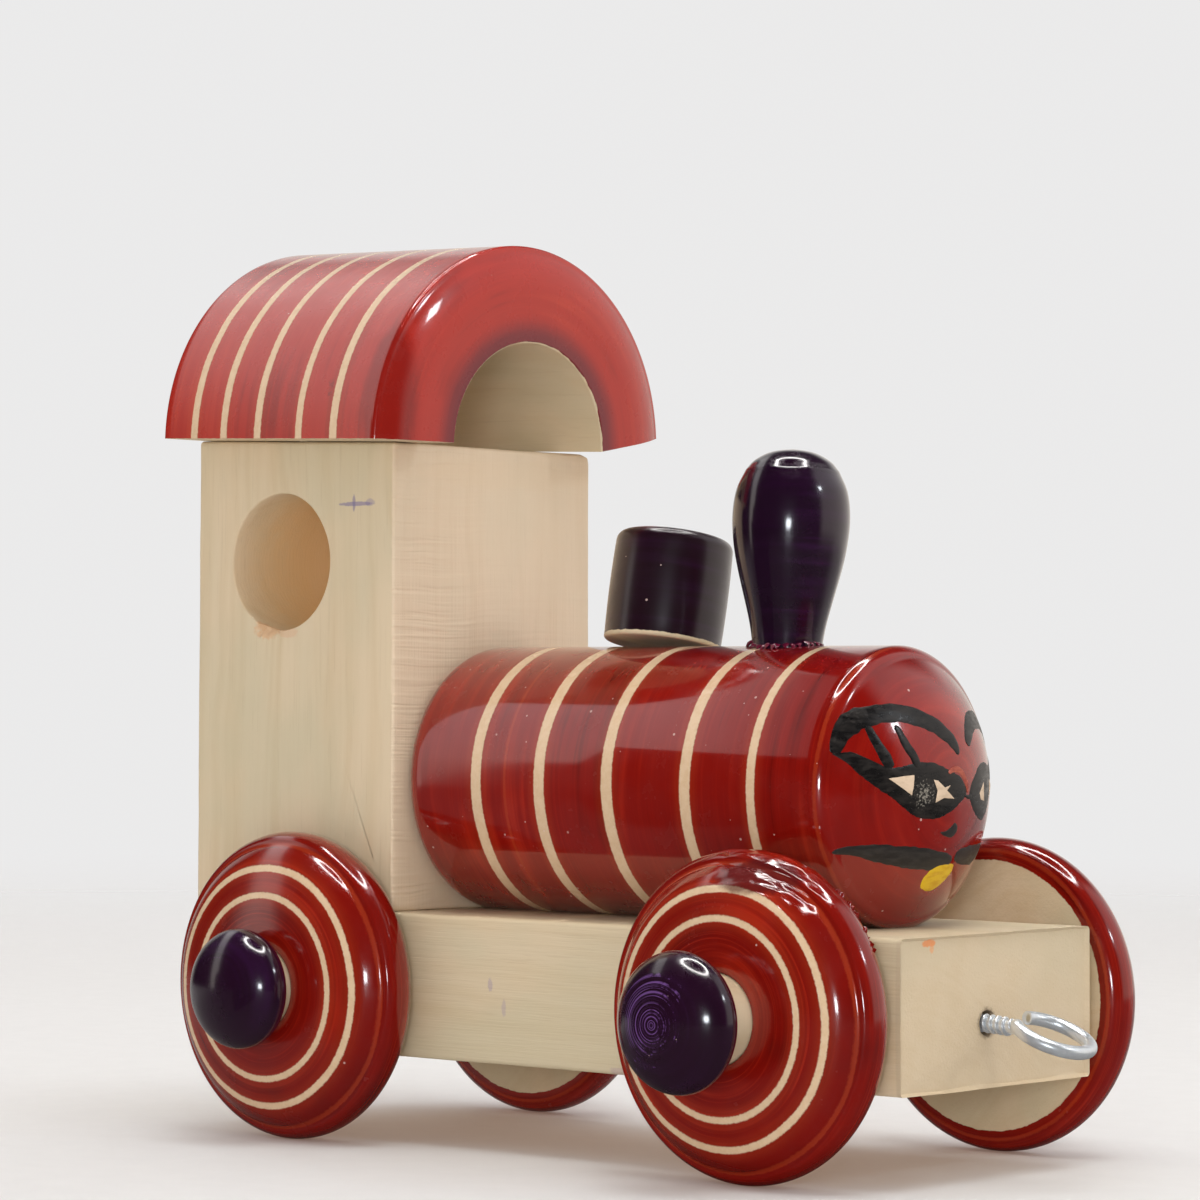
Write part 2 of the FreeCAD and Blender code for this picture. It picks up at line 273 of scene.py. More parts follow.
def new_group(name: str, inputs: dict[str, str], outputs: dict[str, str]) -> tuple[Graph, Any, Any]:
    """Start a shader node group.

    Args:
        name: The group's name.
        inputs: Input name to kind: Float, Vector or Color.
        outputs: Output name to kind.

    Returns:
        The group's graph, its input sockets and its output sockets.
    """
    tree = bpy.data.node_groups.new(name, "ShaderNodeTree")
    for label, kind in inputs.items():
        tree.interface.new_socket(label, in_out="INPUT", socket_type=f"NodeSocket{kind}")
    for label, kind in outputs.items():
        tree.interface.new_socket(label, in_out="OUTPUT", socket_type=f"NodeSocket{kind}")
    graph = Graph(tree)
    return graph, graph.node("NodeGroupInput").outputs, graph.node("NodeGroupOutput").inputs


class Effects:
    """The shader groups that the finishes share, each built once. All lengths are in millimetres."""

    def __init__(self) -> None:
        """Build every group."""
        self.wood = self.build_wood()
        self.band = self.build_band()
        self.marks = self.build_marks()
        self.spot = self.build_spot()
        self.specks = self.build_specks()

    def build_wood(self) -> bpy.types.NodeTree:
        """Build pale sawn wood with its grain along Z.

        Returns:
            The group: Vector in, Color, Height and Roughness out.
        """
        graph, given, out = new_group(
            "pale_wood",
            {"Vector": "Vector", "Pale": "Color", "Tan": "Color"},
            {"Color": "Color", "Height": "Float", "Roughness": "Float"},
        )
        place = given["Vector"]
        x, y, z = graph.split(place)
        bend = graph.cloud(graph.vector("MULTIPLY", place, (0.03, 0.03, 0.011)), 1.0, 2.0)
        pith = graph.vector("LENGTH", graph.join(graph.math("ADD", x, 31.0), graph.math("ADD", y, 47.0), 0.0))
        ring = graph.math("ADD", graph.math("MULTIPLY", pith, 0.42), graph.math("MULTIPLY", bend, 9.0))
        rings = graph.cloud(graph.join(ring, 0.0, graph.math("MULTIPLY", z, 0.004)), 1.0, 2.0)
        streak = graph.cloud(graph.vector("MULTIPLY", place, (0.16, 0.16, 0.009)), 1.0, 4.0, 0.6)
        fibre = graph.cloud(graph.vector("MULTIPLY", place, (2.1, 2.1, 0.07)), 1.0, 3.0, 0.6)
        tint = graph.cloud(graph.vector("MULTIPLY", place, (0.03, 0.03, 0.017)), 1.0, 3.0)
        lean = graph.math("ADD", graph.math("MULTIPLY", rings, 0.5), graph.math("MULTIPLY", streak, 0.5))
        base = graph.blend(graph.fade(lean, 0.38, 0.66), given["Pale"], given["Tan"])
        green = graph.blend(graph.fade(tint, 0.40, 0.62, 0.0, 0.6), base, (0.56, 0.50, 0.34))
        pore = graph.fade(fibre, 0.3, 0.42, 0.12, 0.0)
        graph.feed(out["Color"], graph.blend(pore, green, (0.36, 0.24, 0.12)))
        graph.feed(out["Height"], graph.math("ADD", graph.math("MULTIPLY", fibre, 0.09),
                                             graph.math("MULTIPLY", rings, 0.06)))
        graph.feed(out["Roughness"], graph.fade(streak, 0.3, 0.7, 0.5, 0.66))
        return graph.tree

    def build_band(self) -> bpy.types.NodeTree:
        """Build one scored band with slightly uneven edges.

        Returns:
            The group: Across, Centre, Half Width and Vector in, Mask and Halo out.
        """
        graph, given, out = new_group(
            "scored_band",
            {"Across": "Float", "Centre": "Float", "Half Width": "Float", "Vector": "Vector"},
            {"Mask": "Float", "Halo": "Float"},
        )
        slow = graph.math("SUBTRACT", graph.cloud(given["Vector"], 0.06, 1.0), 0.5)
        fast = graph.math("SUBTRACT", graph.cloud(given["Vector"], 1.6, 3.0, 0.7), 0.5)
        shift = graph.math("ADD", graph.math("MULTIPLY", slow, 0.7), given["Across"])
        far = graph.math("ABSOLUTE", graph.math("SUBTRACT", shift, given["Centre"]))
        ragged = graph.math("ADD", far, graph.math("MULTIPLY", fast, 0.42))
        reach = given["Half Width"]
        graph.feed(out["Mask"], graph.fade(ragged, graph.math("SUBTRACT", reach, 0.12),
                                           graph.math("ADD", reach, 0.16), 1.0, 0.0))
        graph.feed(out["Halo"], graph.fade(far, reach, graph.math("ADD", reach, 2.2), 1.0, 0.0))
        return graph.tree

    def build_marks(self) -> bpy.types.NodeTree:
        """Build the fine rings that a turner's tool and lacquer stick leave.

        Returns:
            The group: Across and Vector in, Broad and Fine out.
        """
        graph, given, out = new_group(
            "turning_marks",
            {"Across": "Float", "Vector": "Vector"},
            {"Broad": "Float", "Fine": "Float"},
        )
        drift = graph.vector("MULTIPLY", given["Vector"], (0.0, 0.022, 0.022))
        broad = graph.vector("ADD", drift, graph.join(graph.math("MULTIPLY", given["Across"], 0.42)))
        fine = graph.vector("ADD", drift, graph.join(graph.math("MULTIPLY", given["Across"], 3.2)))
        graph.feed(out["Broad"], graph.cloud(broad, 1.0, 3.0, 0.6))
        graph.feed(out["Fine"], graph.cloud(fine, 1.0, 3.0, 0.65))
        return graph.tree

    def build_spot(self) -> bpy.types.NodeTree:
        """Build one local patch with a ragged edge.

        Returns:
            The group: Vector, Centre, Reach, Ragged and Grit in, Mask out.
        """
        graph, given, out = new_group(
            "local_patch",
            {"Vector": "Vector", "Centre": "Vector", "Reach": "Vector", "Ragged": "Float", "Grit": "Float"},
            {"Mask": "Float"},
        )
        away = graph.vector("DIVIDE", graph.vector("SUBTRACT", given["Vector"], given["Centre"]), given["Reach"])
        tear = graph.math("SUBTRACT", graph.cloud(given["Vector"], given["Grit"], 4.0, 0.65), 0.5)
        far = graph.math("ADD", graph.vector("LENGTH", away), graph.math("MULTIPLY", tear, given["Ragged"]))
        graph.feed(out["Mask"], graph.fade(far, 0.75, 1.1, 1.0, 0.0))
        return graph.tree

    def build_specks(self) -> bpy.types.NodeTree:
        """Build scattered tiny pale specks.

        Returns:
            The group: Vector and Amount in, Mask out.
        """
        graph, given, out = new_group(
            "dust_specks", {"Vector": "Vector", "Amount": "Float"}, {"Mask": "Float"})
        cells = graph.node("ShaderNodeTexVoronoi")
        graph.fill(cells, {"Vector": given["Vector"], "Scale": 0.55})
        pick = graph.split(cells.outputs["Color"])[0]
        size = graph.math("MULTIPLY", graph.split(cells.outputs["Color"])[1], 0.13)
        near = graph.math("LESS_THAN", cells.outputs["Distance"], size)
        graph.feed(out["Mask"], graph.math("MULTIPLY", near, graph.math("LESS_THAN", pick, given["Amount"])))
        return graph.tree


EFFECTS = Effects()


@dataclass(frozen=True)
class Mark:
    """One stain, stroke, smudge or patch of painted shade on a surface, placed in millimetres on the frame."""

    centre: tuple[float, float, float]
    reach: tuple[float, float, float]
    colour: Colour
    strength: float = 0.8
    ragged: float = 0.6
    grit: float = 0.9


@dataclass(frozen=True)
class Finish:
    """What every finish has: a name and a way to start its material."""

    name: str

    def start(self) -> tuple[Graph, bpy.types.Node, bpy.types.NodeSocket]:
        """Start the material.

        Returns:
            Its graph, its Principled BSDF, and its place on the frame in millimetres.
        """
        made = bpy.data.materials.new(self.name)
        made.use_nodes = True
        graph = Graph(made.node_tree)
        shader = made.node_tree.nodes["Principled BSDF"]
        shader.inputs["IOR"].default_value = 1.5
        place = graph.node("ShaderNodeTexCoord").outputs["Object"]
        return graph, shader, graph.vector("MULTIPLY", place, (1000.0, 1000.0, 1000.0))

    def emboss(self, graph: Graph, shader: bpy.types.Node, height: Source) -> None:
        """Give the shader a bump.

        Args:
            graph: The material's graph.
            shader: Its Principled BSDF.
            height: The height in millimetres.
        """
        bump = graph.node("ShaderNodeBump")
        graph.fill(bump, {"Strength": 1.0, "Distance": MM, "Height": height})
        graph.feed(shader.inputs["Normal"], bump.outputs["Normal"])

    def stain_and_shade(self, graph: Graph, colour: Source, place: Source, marks: tuple[Mark, ...]) -> Source:
        """Lay marks, real stains and painted shade alike, over a colour.

        Args:
            graph: The material's graph.
            colour: The colour beneath.
            place: The place on the frame in millimetres.
            marks: The marks, first to last.

        Returns:
            The marked colour.
        """
        for mark in marks:
            spot = graph.use(EFFECTS.spot, Vector=place, Centre=mark.centre, Reach=mark.reach,
                             Ragged=mark.ragged, Grit=mark.grit)
            share = graph.math("MULTIPLY", spot.outputs["Mask"], mark.strength)
            colour = graph.blend(share, colour, mark.colour)
        return colour


@dataclass(frozen=True)
class BareWood(Finish):
    """Pale sawn wood, left bare, with its own stains and painted shade, and a sawn front that can be painted lighter.
    """

    grain: Grain = Grain.Z
    pale: Colour = (0.70, 0.56, 0.385)
    tan: Colour = (0.64, 0.49, 0.31)
    sawn_and_lit_front: float = 0.0
    marks: tuple[Mark, ...] = ()

    def make(self) -> bpy.types.Material:
        """Build the material.

        Returns:
            The finished material.
        """
        graph, shader, place = self.start()
        x, y, z = graph.split(place)
        grain = place if self.grain is Grain.Z else graph.join(y, z, x)
        wood = graph.use(EFFECTS.wood, Vector=grain, Pale=full(self.pale), Tan=full(self.tan))
        colour = self.stain_and_shade(graph, wood.outputs["Color"], place, self.marks)
        height = wood.outputs["Height"]
        if self.sawn_and_lit_front:
            wander = graph.cloud(graph.vector("MULTIPLY", place, (0.1, 0.03, 0.02)), 1.0, 2.0)
            kerf = graph.join(graph.math("ADD", graph.math("MULTIPLY", z, 0.55), graph.math("MULTIPLY", wander, 2.0)),
                              graph.math("MULTIPLY", y, 0.02))
            lines = graph.cloud(kerf, 1.0, 2.0, 0.7)
            front = graph.fade(x, self.sawn_and_lit_front - 0.6, self.sawn_and_lit_front - 0.2)
            edge = graph.fade(y, -22.0, 2.0, 0.11, 0.025)
            fine = graph.math("MULTIPLY", graph.fade(lines, 0.35, 0.62), graph.math("MULTIPLY", front, edge))
            height = graph.math("ADD", height, fine)
            # Painted light: the sawn front face is painted lighter than the sides, on top of its real saw marks.
            colour = graph.blend(graph.math("MULTIPLY", front, 0.6), colour, (0.77, 0.61, 0.45))
        graph.feed(shader.inputs["Base Color"], colour)
        graph.feed(shader.inputs["Roughness"], wood.outputs["Roughness"])
        self.emboss(graph, shader, height)
        return bpy.data.materials[self.name]


@dataclass(frozen=True)
class Lacquer(Finish):
    """Coloured lac turned on to wood, with scored bands and places left bare."""

    deep: Colour = (0.120, 0.0020, 0.0012)
    main: Colour = (0.215, 0.0042, 0.0020)
    bright: Colour = (0.43, 0.024, 0.008)
    across: Across = Across.ALONG
    bands: tuple[Point, ...] = ()
    creases: tuple[float, ...] = ()
    cream: Colour = (0.68, 0.50, 0.33)
    halo: Colour = (0.42, 0.05, 0.014)
    ragged: float = 0.9
    specks: float = 0.02
    gloss: float = 0.16
    film: float = 0.07
    wave: float = 0.10
    bright_from: float = 0.5
    streak: float = 0.16
    dusk: Point = (0.0, 0.0)
    swirl: tuple[Mark, ...] = ()
    marks: tuple[Mark, ...] = ()

    def make(self) -> bpy.types.Material:
        """Build the material.

        Returns:
            The finished material.
        """
        graph, shader, place = self.start()
        turned = graph.attribute("turning", "Vector")
        along, y, z = graph.split(turned)
        radius = graph.vector("LENGTH", graph.join(0.0, y, z))
        across = along if self.across is Across.ALONG else radius
        marks = graph.use(EFFECTS.marks, Across=graph.math("ADD", along, radius), Vector=turned)
        patch = graph.cloud(place, 0.035, 3.0)
        tone = graph.math("ADD", graph.math("MULTIPLY", marks.outputs["Broad"], 0.55),
                          graph.math("MULTIPLY", patch, 0.45))
        colour = graph.blend(graph.fade(tone, 0.32, 0.48), self.deep, self.main)
        lift = graph.fade(tone, self.bright_from, self.bright_from + 0.22, 0.0, 0.6)
        colour = graph.blend(lift, colour, self.bright)
        fine = graph.fade(marks.outputs["Fine"], 0.50, 0.72, 0.0, self.streak)
        colour = graph.blend(fine, colour, self.bright)
        for arc in self.swirl:
            spot = graph.use(EFFECTS.spot, Vector=place, Centre=arc.centre, Reach=arc.reach, Ragged=arc.ragged,
                             Grit=arc.grit)
            rings = graph.math("MULTIPLY", graph.fade(marks.outputs["Fine"], 0.50, 0.60), spot.outputs["Mask"])
            colour = graph.blend(graph.math("MULTIPLY", rings, arc.strength), colour, arc.colour)
        if self.dusk[1]:
            colour = graph.blend(graph.fade(radius, *self.dusk, 0.75, 0.0), colour, (0.085, 0.006, 0.016))
        for crease in self.creases:
            line = graph.use(EFFECTS.band, Across=across, Centre=crease, Half_Width=0.28, Vector=turned)
            colour = graph.blend(graph.math("MULTIPLY", line.outputs["Mask"], 0.4), colour, self.halo)
        band: Source = 0.0
        halo: Source = 0.0
        for centre, half in self.bands:
            ring = graph.use(EFFECTS.band, Across=across, Centre=centre, Half_Width=half, Vector=turned)
            band = graph.math("MAXIMUM", ring.outputs["Mask"], band)
            halo = graph.math("MAXIMUM", ring.outputs["Halo"], halo)
        colour = graph.blend(graph.math("MULTIPLY", halo, 0.22), colour, self.halo)
        dirt = graph.fade(graph.cloud(place, 0.7, 4.0, 0.7), 0.35, 0.7, 0.0, 0.5)
        cream = graph.blend(dirt, self.cream, (0.58, 0.38, 0.22))
        colour = graph.blend(band, colour, cream)
        colour = self.stain_and_shade(graph, colour, place, self.marks)
        dust = graph.use(EFFECTS.specks, Vector=place, Amount=self.specks)
        colour = graph.blend(graph.math("MULTIPLY", dust.outputs["Mask"], 0.55), colour, (0.75, 0.55, 0.5))
        wood = graph.use(EFFECTS.wood, Vector=graph.join(y, z, along), Pale=(0.70, 0.56, 0.385, 1.0),
                         Tan=(0.64, 0.49, 0.31, 1.0))
        tear = graph.math("SUBTRACT", graph.cloud(place, 0.8, 4.0, 0.7), 0.5)
        edge = graph.math("ADD", graph.attribute("bare", "Fac"), graph.math("MULTIPLY", tear, self.ragged))
        bare = graph.fade(edge, -0.06, 0.1)
        colour = graph.blend(bare, colour, wood.outputs["Color"])
        graph.feed(shader.inputs["Base Color"], colour)
        smear = graph.fade(graph.cloud(place, 0.16, 4.0, 0.6), 0.35, 0.7, self.gloss, self.gloss + 0.14)
        graph.feed(shader.inputs["Roughness"], graph.level(bare, smear, 0.58))
        weight = graph.math("SUBTRACT", 1.0, graph.math("MAXIMUM", bare, graph.math("MULTIPLY", band, 0.5)))
        graph.feed(shader.inputs["Coat Weight"], weight)
        shader.inputs["Coat Roughness"].default_value = self.film
        shader.inputs["Specular IOR Level"].default_value = 0.2
        swell = graph.math("MULTIPLY", graph.cloud(place, 0.09, 2.0), self.wave)
        peel = graph.math("MULTIPLY", graph.cloud(place, 0.8, 2.0), 0.008)
        rings = graph.math("MULTIPLY", marks.outputs["Fine"], 0.012)
        grain = graph.math("MULTIPLY", graph.math("MULTIPLY", wood.outputs["Height"], bare), 0.6)
        skin = graph.math("MULTIPLY", graph.math("MAXIMUM", band, bare), -0.07)
        height = graph.math("ADD", graph.math("ADD", swell, peel), graph.math("ADD", rings, grain))
        self.emboss(graph, shader, graph.math("ADD", height, skin))
        return bpy.data.materials[self.name]


@dataclass(frozen=True)
class Paint(Finish):
    """Brushed enamel over the lacquer; the raised drop at the eye's corner uses it for a painted highlight."""

    colour: Colour = (0.007, 0.006, 0.006)
    worn: Colour = (0.020, 0.016, 0.014)
    roughness: float = 0.24
    flakes: tuple[Mark, ...] = ()

    def make(self) -> bpy.types.Material:
        """Build the material.

        Returns:
            The finished material.
        """
        graph, shader, place = self.start()
        brush = graph.cloud(graph.vector("MULTIPLY", place, (0.5, 0.35, 1.1)), 1.0, 4.0, 0.65)
        colour = graph.blend(graph.fade(brush, 0.4, 0.68), self.colour, self.worn)
        colour = self.stain_and_shade(graph, colour, place, self.flakes)
        graph.feed(shader.inputs["Base Color"], colour)
        shader.inputs["Specular IOR Level"].default_value = 0.35
        graph.feed(shader.inputs["Roughness"], graph.fade(brush, 0.3, 0.7, self.roughness, self.roughness + 0.2))
        self.emboss(graph, shader, graph.math("MULTIPLY", brush, 0.05))
        return bpy.data.materials[self.name]


@dataclass(frozen=True)
class Zinc(Finish):
    """Bright zinc-plated wire with dull hollows."""

    cut_end: tuple[float, float, float] = (78.0, -3.0, 26.9)

    def make(self) -> bpy.types.Material:
        """Build the material.

        Returns:
            The finished material.
        """
        graph, shader, place = self.start()
        blotch = graph.cloud(place, 0.9, 4.0, 0.6)
        scratch = graph.cloud(graph.vector("MULTIPLY", place, (0.8, 1.5, 1.5)), 1.0, 2.0)
        colour = graph.blend(graph.fade(blotch, 0.35, 0.65), (0.70, 0.74, 0.78), (0.80, 0.83, 0.86))
        ends = (Mark(self.cut_end, (0.8, 1.2, 1.1), (0.42, 0.36, 0.22), 0.8, 0.2),)
        colour = self.stain_and_shade(graph, colour, place, ends)
        graph.feed(shader.inputs["Base Color"], colour)
        graph.feed(shader.inputs["Metallic"], graph.fade(blotch, 0.3, 0.6, 0.6, 0.72))
        graph.feed(shader.inputs["Roughness"], graph.fade(blotch, 0.35, 0.7, 0.28, 0.36))
        self.emboss(graph, shader, graph.math("MULTIPLY", scratch, 0.004))
        return bpy.data.materials[self.name]


class Profile:
    """The outline of a turned piece: how far along its axis, and how far from it, in millimetres."""

    def __init__(self, start: Point) -> None:
        """Start the outline at a point."""
        self.points: list[Point] = [start]

    def line(self, end: Point, step: float = 1.5) -> "Profile":
        """Go straight to a point.

        Args:
            end: The point.
            step: The longest distance between two points on the way.

        Returns:
            The same profile.
        """
        start = self.points[-1]
        count = max(1, math.ceil(math.dist(start, end) / step))
        for index in range(1, count + 1):
            share = index / count
            self.points.append((start[0] + (end[0] - start[0]) * share, start[1] + (end[1] - start[1]) * share))
        return self

    def arc(self, end: Point, radius: float, count: int = 8) -> "Profile":
        """Go to a point along an arc that bulges outward.

        Args:
            end: The point.
            radius: The arc's radius.
            count: How many steps it takes.

        Returns:
            The same profile.
        """
        start = self.points[-1]
        chord = math.dist(start, end)
        rise = math.sqrt(max(radius * radius - chord * chord / 4, 0.0))
        centre_x = (start[0] + end[0]) / 2 + (end[1] - start[1]) / chord * rise
        centre_r = (start[1] + end[1]) / 2 - (end[0] - start[0]) / chord * rise
        first = math.atan2(start[1] - centre_r, start[0] - centre_x)
        last = math.atan2(end[1] - centre_r, end[0] - centre_x)
        if last > first:
            last -= math.tau
        for index in range(1, count + 1):
            angle = first + (last - first) * index / count
            self.points.append((centre_x + radius * math.cos(angle), centre_r + radius * math.sin(angle)))
        return self

    def dome(self, depth: float, count: int = 20) -> "Profile":
        """Close over the axis with a quarter of an ellipse.

        Args:
            depth: How far the dome reaches along the axis.
            count: How many steps it takes.

        Returns:
            The same profile.
        """
        along, radius = self.points[-1]
        for index in range(1, count + 1):
            angle = math.pi / 2 * index / count
            reach = 0.0 if index == count else radius * math.cos(angle)
            self.points.append((along + depth * math.sin(angle), reach))
        return self

    def through(self, points: list[Point], count: int = 5) -> "Profile":
        """Pass smoothly through points.

        Args:
            points: The points; the last one is the end.
            count: How many steps between two of them.

        Returns:
            The same profile.
        """
        track = smooth_path([self.points[-1], *points], count)
        self.points.extend((spot[0], max(spot[1], 0.0)) for spot in track[1:])
        return self


def smooth_path(points: list[tuple[float, ...]], count: int, closed: bool = False) -> list[Vector]:
    """Thread a smooth line through points.

    Args:
        points: Points of any number of coordinates.
        count: How many steps between two of them.
        closed: Whether the line comes back to its start.

    Returns:
        The line's points. A closed line doesn't repeat its first one.
    """
    spots = [Vector(point) for point in points]
    total = len(spots)
    track: list[Vector] = []
    for index in range(total if closed else total - 1):
        second = spots[index]
        third = spots[(index + 1) % total]
        before = spots[index - 1] if closed or index else second * 2 - third
        after_at = index + 2
        after = spots[after_at % total] if closed or after_at < total else third * 2 - second
        for step in range(count):
            t = step / count
            track.append(
                (second * 2 + (third - before) * t
                 + (before * 2 - second * 5 + third * 4 - after) * t * t
                 + (second * 3 - third * 3 + after - before) * t * t * t) * 0.5)
    if not closed:
        track.append(spots[-1])
    return track


def grit(place: Vector, scale: float, seed: float = 0.0) -> float:
    """Return repeatable noise from -1 to 1 at a place."""
    return noise.noise(place * scale + Vector((seed, seed * 1.7, seed * 0.6)))


class Lathe:
    """Spins a profile about its long axis with geometry nodes, and keeps each point's own place on it."""

    def __init__(self) -> None:
        """Build the lathe's tree."""
        self.tree = bpy.data.node_groups.new("lathe", "GeometryNodeTree")
        face = self.tree.interface
        for label, kind in (("Profile", "Geometry"), ("Segments", "Int"), ("Sweep", "Float"), ("Finish", "Material")):
            face.new_socket(label, in_out="INPUT", socket_type=f"NodeSocket{kind}")
        face.new_socket("Geometry", in_out="OUTPUT", socket_type="NodeSocketGeometry")
        graph = Graph(self.tree)
        given = graph.node("NodeGroupInput").outputs
        size = graph.node("GeometryNodeAttributeDomainSize")
        graph.feed(size.inputs["Geometry"], given["Profile"])
        rows = size.outputs["Point Count"]
        grid = graph.node("GeometryNodeMeshGrid")
        graph.fill(grid, {"Vertices X": graph.math("ADD", given["Segments"], 1.0), "Vertices Y": rows})
        index = graph.node("GeometryNodeInputIndex").outputs[0]
        column = graph.math("FLOOR", graph.math("DIVIDE", graph.math("ADD", index, 0.5), rows))
        row = graph.math("SUBTRACT", index, graph.math("MULTIPLY", column, rows))
        sample = graph.node("GeometryNodeSampleIndex", data_type="FLOAT_VECTOR", domain="POINT")
        graph.feed(sample.inputs["Geometry"], given["Profile"])
        graph.feed(sample.inputs["Value"], graph.node("GeometryNodeInputPosition").outputs[0])
        graph.feed(sample.inputs["Index"], row)
        along, radius, _ = graph.split(sample.outputs["Value"])
        angle = graph.math("MULTIPLY", graph.math("DIVIDE", column, given["Segments"]), given["Sweep"])
        spun = graph.join(along, graph.math("MULTIPLY", radius, graph.math("COSINE", angle)),
                          graph.math("MULTIPLY", radius, graph.math("SINE", angle)))
        placed = graph.node("GeometryNodeSetPosition")
        graph.fill(placed, {"Geometry": grid.outputs["Mesh"], "Position": spun})
        merged = graph.node("GeometryNodeMergeByDistance")
        graph.fill(merged, {"Geometry": placed.outputs[0], "Distance": 0.0008})
        stored = graph.node("GeometryNodeStoreNamedAttribute", data_type="FLOAT_VECTOR", domain="POINT")
        graph.fill(stored, {"Geometry": merged.outputs[0], "Name": "turning"})
        graph.feed(stored.inputs["Value"], graph.node("GeometryNodeInputPosition").outputs[0])
        smooth = graph.node("GeometryNodeSetShadeSmooth")
        graph.feed(smooth.inputs["Geometry"], stored.outputs[0])
        real = graph.node("GeometryNodeRealizeInstances")
        graph.feed(real.inputs[0], smooth.outputs[0])
        dressed = graph.node("GeometryNodeSetMaterial")
        graph.fill(dressed, {"Geometry": real.outputs[0], "Material": given["Finish"]})
        graph.feed(graph.node("NodeGroupOutput").inputs[0], dressed.outputs[0])

    def turn(self, profile: Profile, finish: bpy.types.Material, segments: int = 160,
             sweep: float = math.tau) -> bpy.types.Mesh:
        """Turn one piece.

        Args:
            profile: Its outline.
            finish: Its material.
            segments: How many steps go round it.
            sweep: How far round it goes.

        Returns:
            A plain mesh in millimetres, with its axis along X.
        """
        blank = bpy.data.meshes.new("profile")
        blank.from_pydata([(x, r, 0.0) for x, r in profile.points], [], [])
        values = {"Segments": segments, "Sweep": sweep, "Finish": finish}
        return grow(self.tree, blank, values)


def grow(tree: bpy.types.NodeTree, blank: bpy.types.ID, values: dict[str, Any]) -> bpy.types.Mesh:
    """Run a geometry tree on a blank and keep its result.

    Args:
        tree: The geometry tree.
        blank: The mesh or curve that it starts from.
        values: Input name to value.

    Returns:
        The plain mesh.
    """
    holder = bpy.data.objects.new("blank", blank)
    bpy.context.scene.collection.objects.link(holder)
    modifier = holder.modifiers.new("grow", "NODES")
    modifier.node_group = tree
    for item in tree.interface.items_tree:
        if item.item_type == "SOCKET" and item.in_out == "INPUT" and item.name in values:
            modifier[item.identifier] = values[item.name]
    graph = bpy.context.evaluated_depsgraph_get()
    made = bpy.data.meshes.new_from_object(holder.evaluated_get(graph), depsgraph=graph)
    bpy.data.objects.remove(holder)
    return made


def loft(rings: list[list[Vector]], looped: bool = False) -> bpy.types.Mesh:
    """Skin rings of equal length into a closed mesh.

    Args:
        rings: The rings in order. An open run of rings is closed with a point at each end.
        looped: Whether the last ring joins the first.

    Returns:
        The mesh in millimetres.
    """
    count = len(rings[0])
    spots = [spot for ring in rings for spot in ring]
    faces: list[tuple[int, ...]] = []
    for level in range(len(rings) if looped else len(rings) - 1):
        low = level * count
        high = (level + 1) % len(rings) * count
        for index in range(count):
            after = (index + 1) % count
            faces.append((low + index, low + after, high + after, high + index))
    if not looped:
        for level in (0, len(rings) - 1):
            spots.append(sum(rings[level], Vector((0, 0, 0))) / count)
            low = level * count
            faces.extend((low + index, low + (index + 1) % count, len(spots) - 1) for index in range(count))
    made = bpy.data.meshes.new("loft")
    made.from_pydata([tuple(spot) for spot in spots], [], faces)
    return made


def joined(meshes: list[bpy.types.Mesh]) -> bpy.types.Mesh:
    """Gather meshes into one.

    Args:
        meshes: Meshes in millimetres.

    Returns:
        The one mesh.
    """
    gathered = bmesh.new()
    for made in meshes:
        gathered.from_mesh(made)
    whole = bpy.data.meshes.new("joined")
    gathered.to_mesh(whole)
    gathered.free()
    for material in meshes[0].materials:
        whole.materials.append(material)
    return whole


def set_bare(made: bpy.types.Mesh, rule: Callable[[Vector], float]) -> None:
    """Record how far inside the bare wood each point of a turned piece lies.

    Args:
        made: The turned mesh.
        rule: Gives the distance in millimetres, above zero where the wood is bare.
    """
    turned = made.attributes["turning"].data
    values = [rule(Vector(item.vector)) for item in turned]
    made.attributes.new("bare", "FLOAT", "POINT").data.foreach_set("value", values)


def sealed(made: bpy.types.Mesh) -> bpy.types.Mesh:
    """Mark a whole mesh as lacquered and return it."""
    made.attributes.new("bare", "FLOAT", "POINT").data.foreach_set("value", [-4.0] * len(made.vertices))
    return made


def settle(name: str, made: bpy.types.Mesh, place: Matrix, body: str, slot: str, *nodes: str,
           finish: bpy.types.Material | None = None, crisp: float = 38.0) -> bpy.types.Object:
    """Put a finished mesh on the frame.

    Args:
        name: The piece's name.
        made: Its mesh in millimetres.
        place: Its place on the frame.
        body: The body that it rides on.
        slot: The record's material slot; it is not used.
        nodes: The CAD nodes that it stands for.
        finish: Its material, if the mesh hasn't one.
        crisp: The angle in degrees past which an edge stays sharp.

    Returns:
        The piece.
    """
    made.transform(Matrix.Scale(MM, 4) @ place)
    tidy = bmesh.new()
    tidy.from_mesh(made)
    bmesh.ops.recalc_face_normals(tidy, faces=tidy.faces)
    tidy.to_mesh(made)
    tidy.free()
    made.shade_smooth()
    made.set_sharp_from_angle(angle=math.radians(crisp))
    if finish:
        made.materials.clear()
        made.materials.append(finish)
    made.name = name
    piece = bpy.data.objects.new(name, made)
    bpy.context.scene.collection.objects.link(piece)
    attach(piece, body)
    if nodes:
        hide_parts(*nodes)
    LOG.info("%s: %d faces on %s", name, len(made.polygons), body)
    return piece


def spin(axis: str, degrees: float) -> Matrix:
    """Return a turn about one axis."""
    return Matrix.Rotation(math.radians(degrees), 4, axis)


def middle(node: str) -> Vector:
    """Return the middle of a CAD node's box, in millimetres."""
    low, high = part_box(node)
    return (low + high) * 500.0


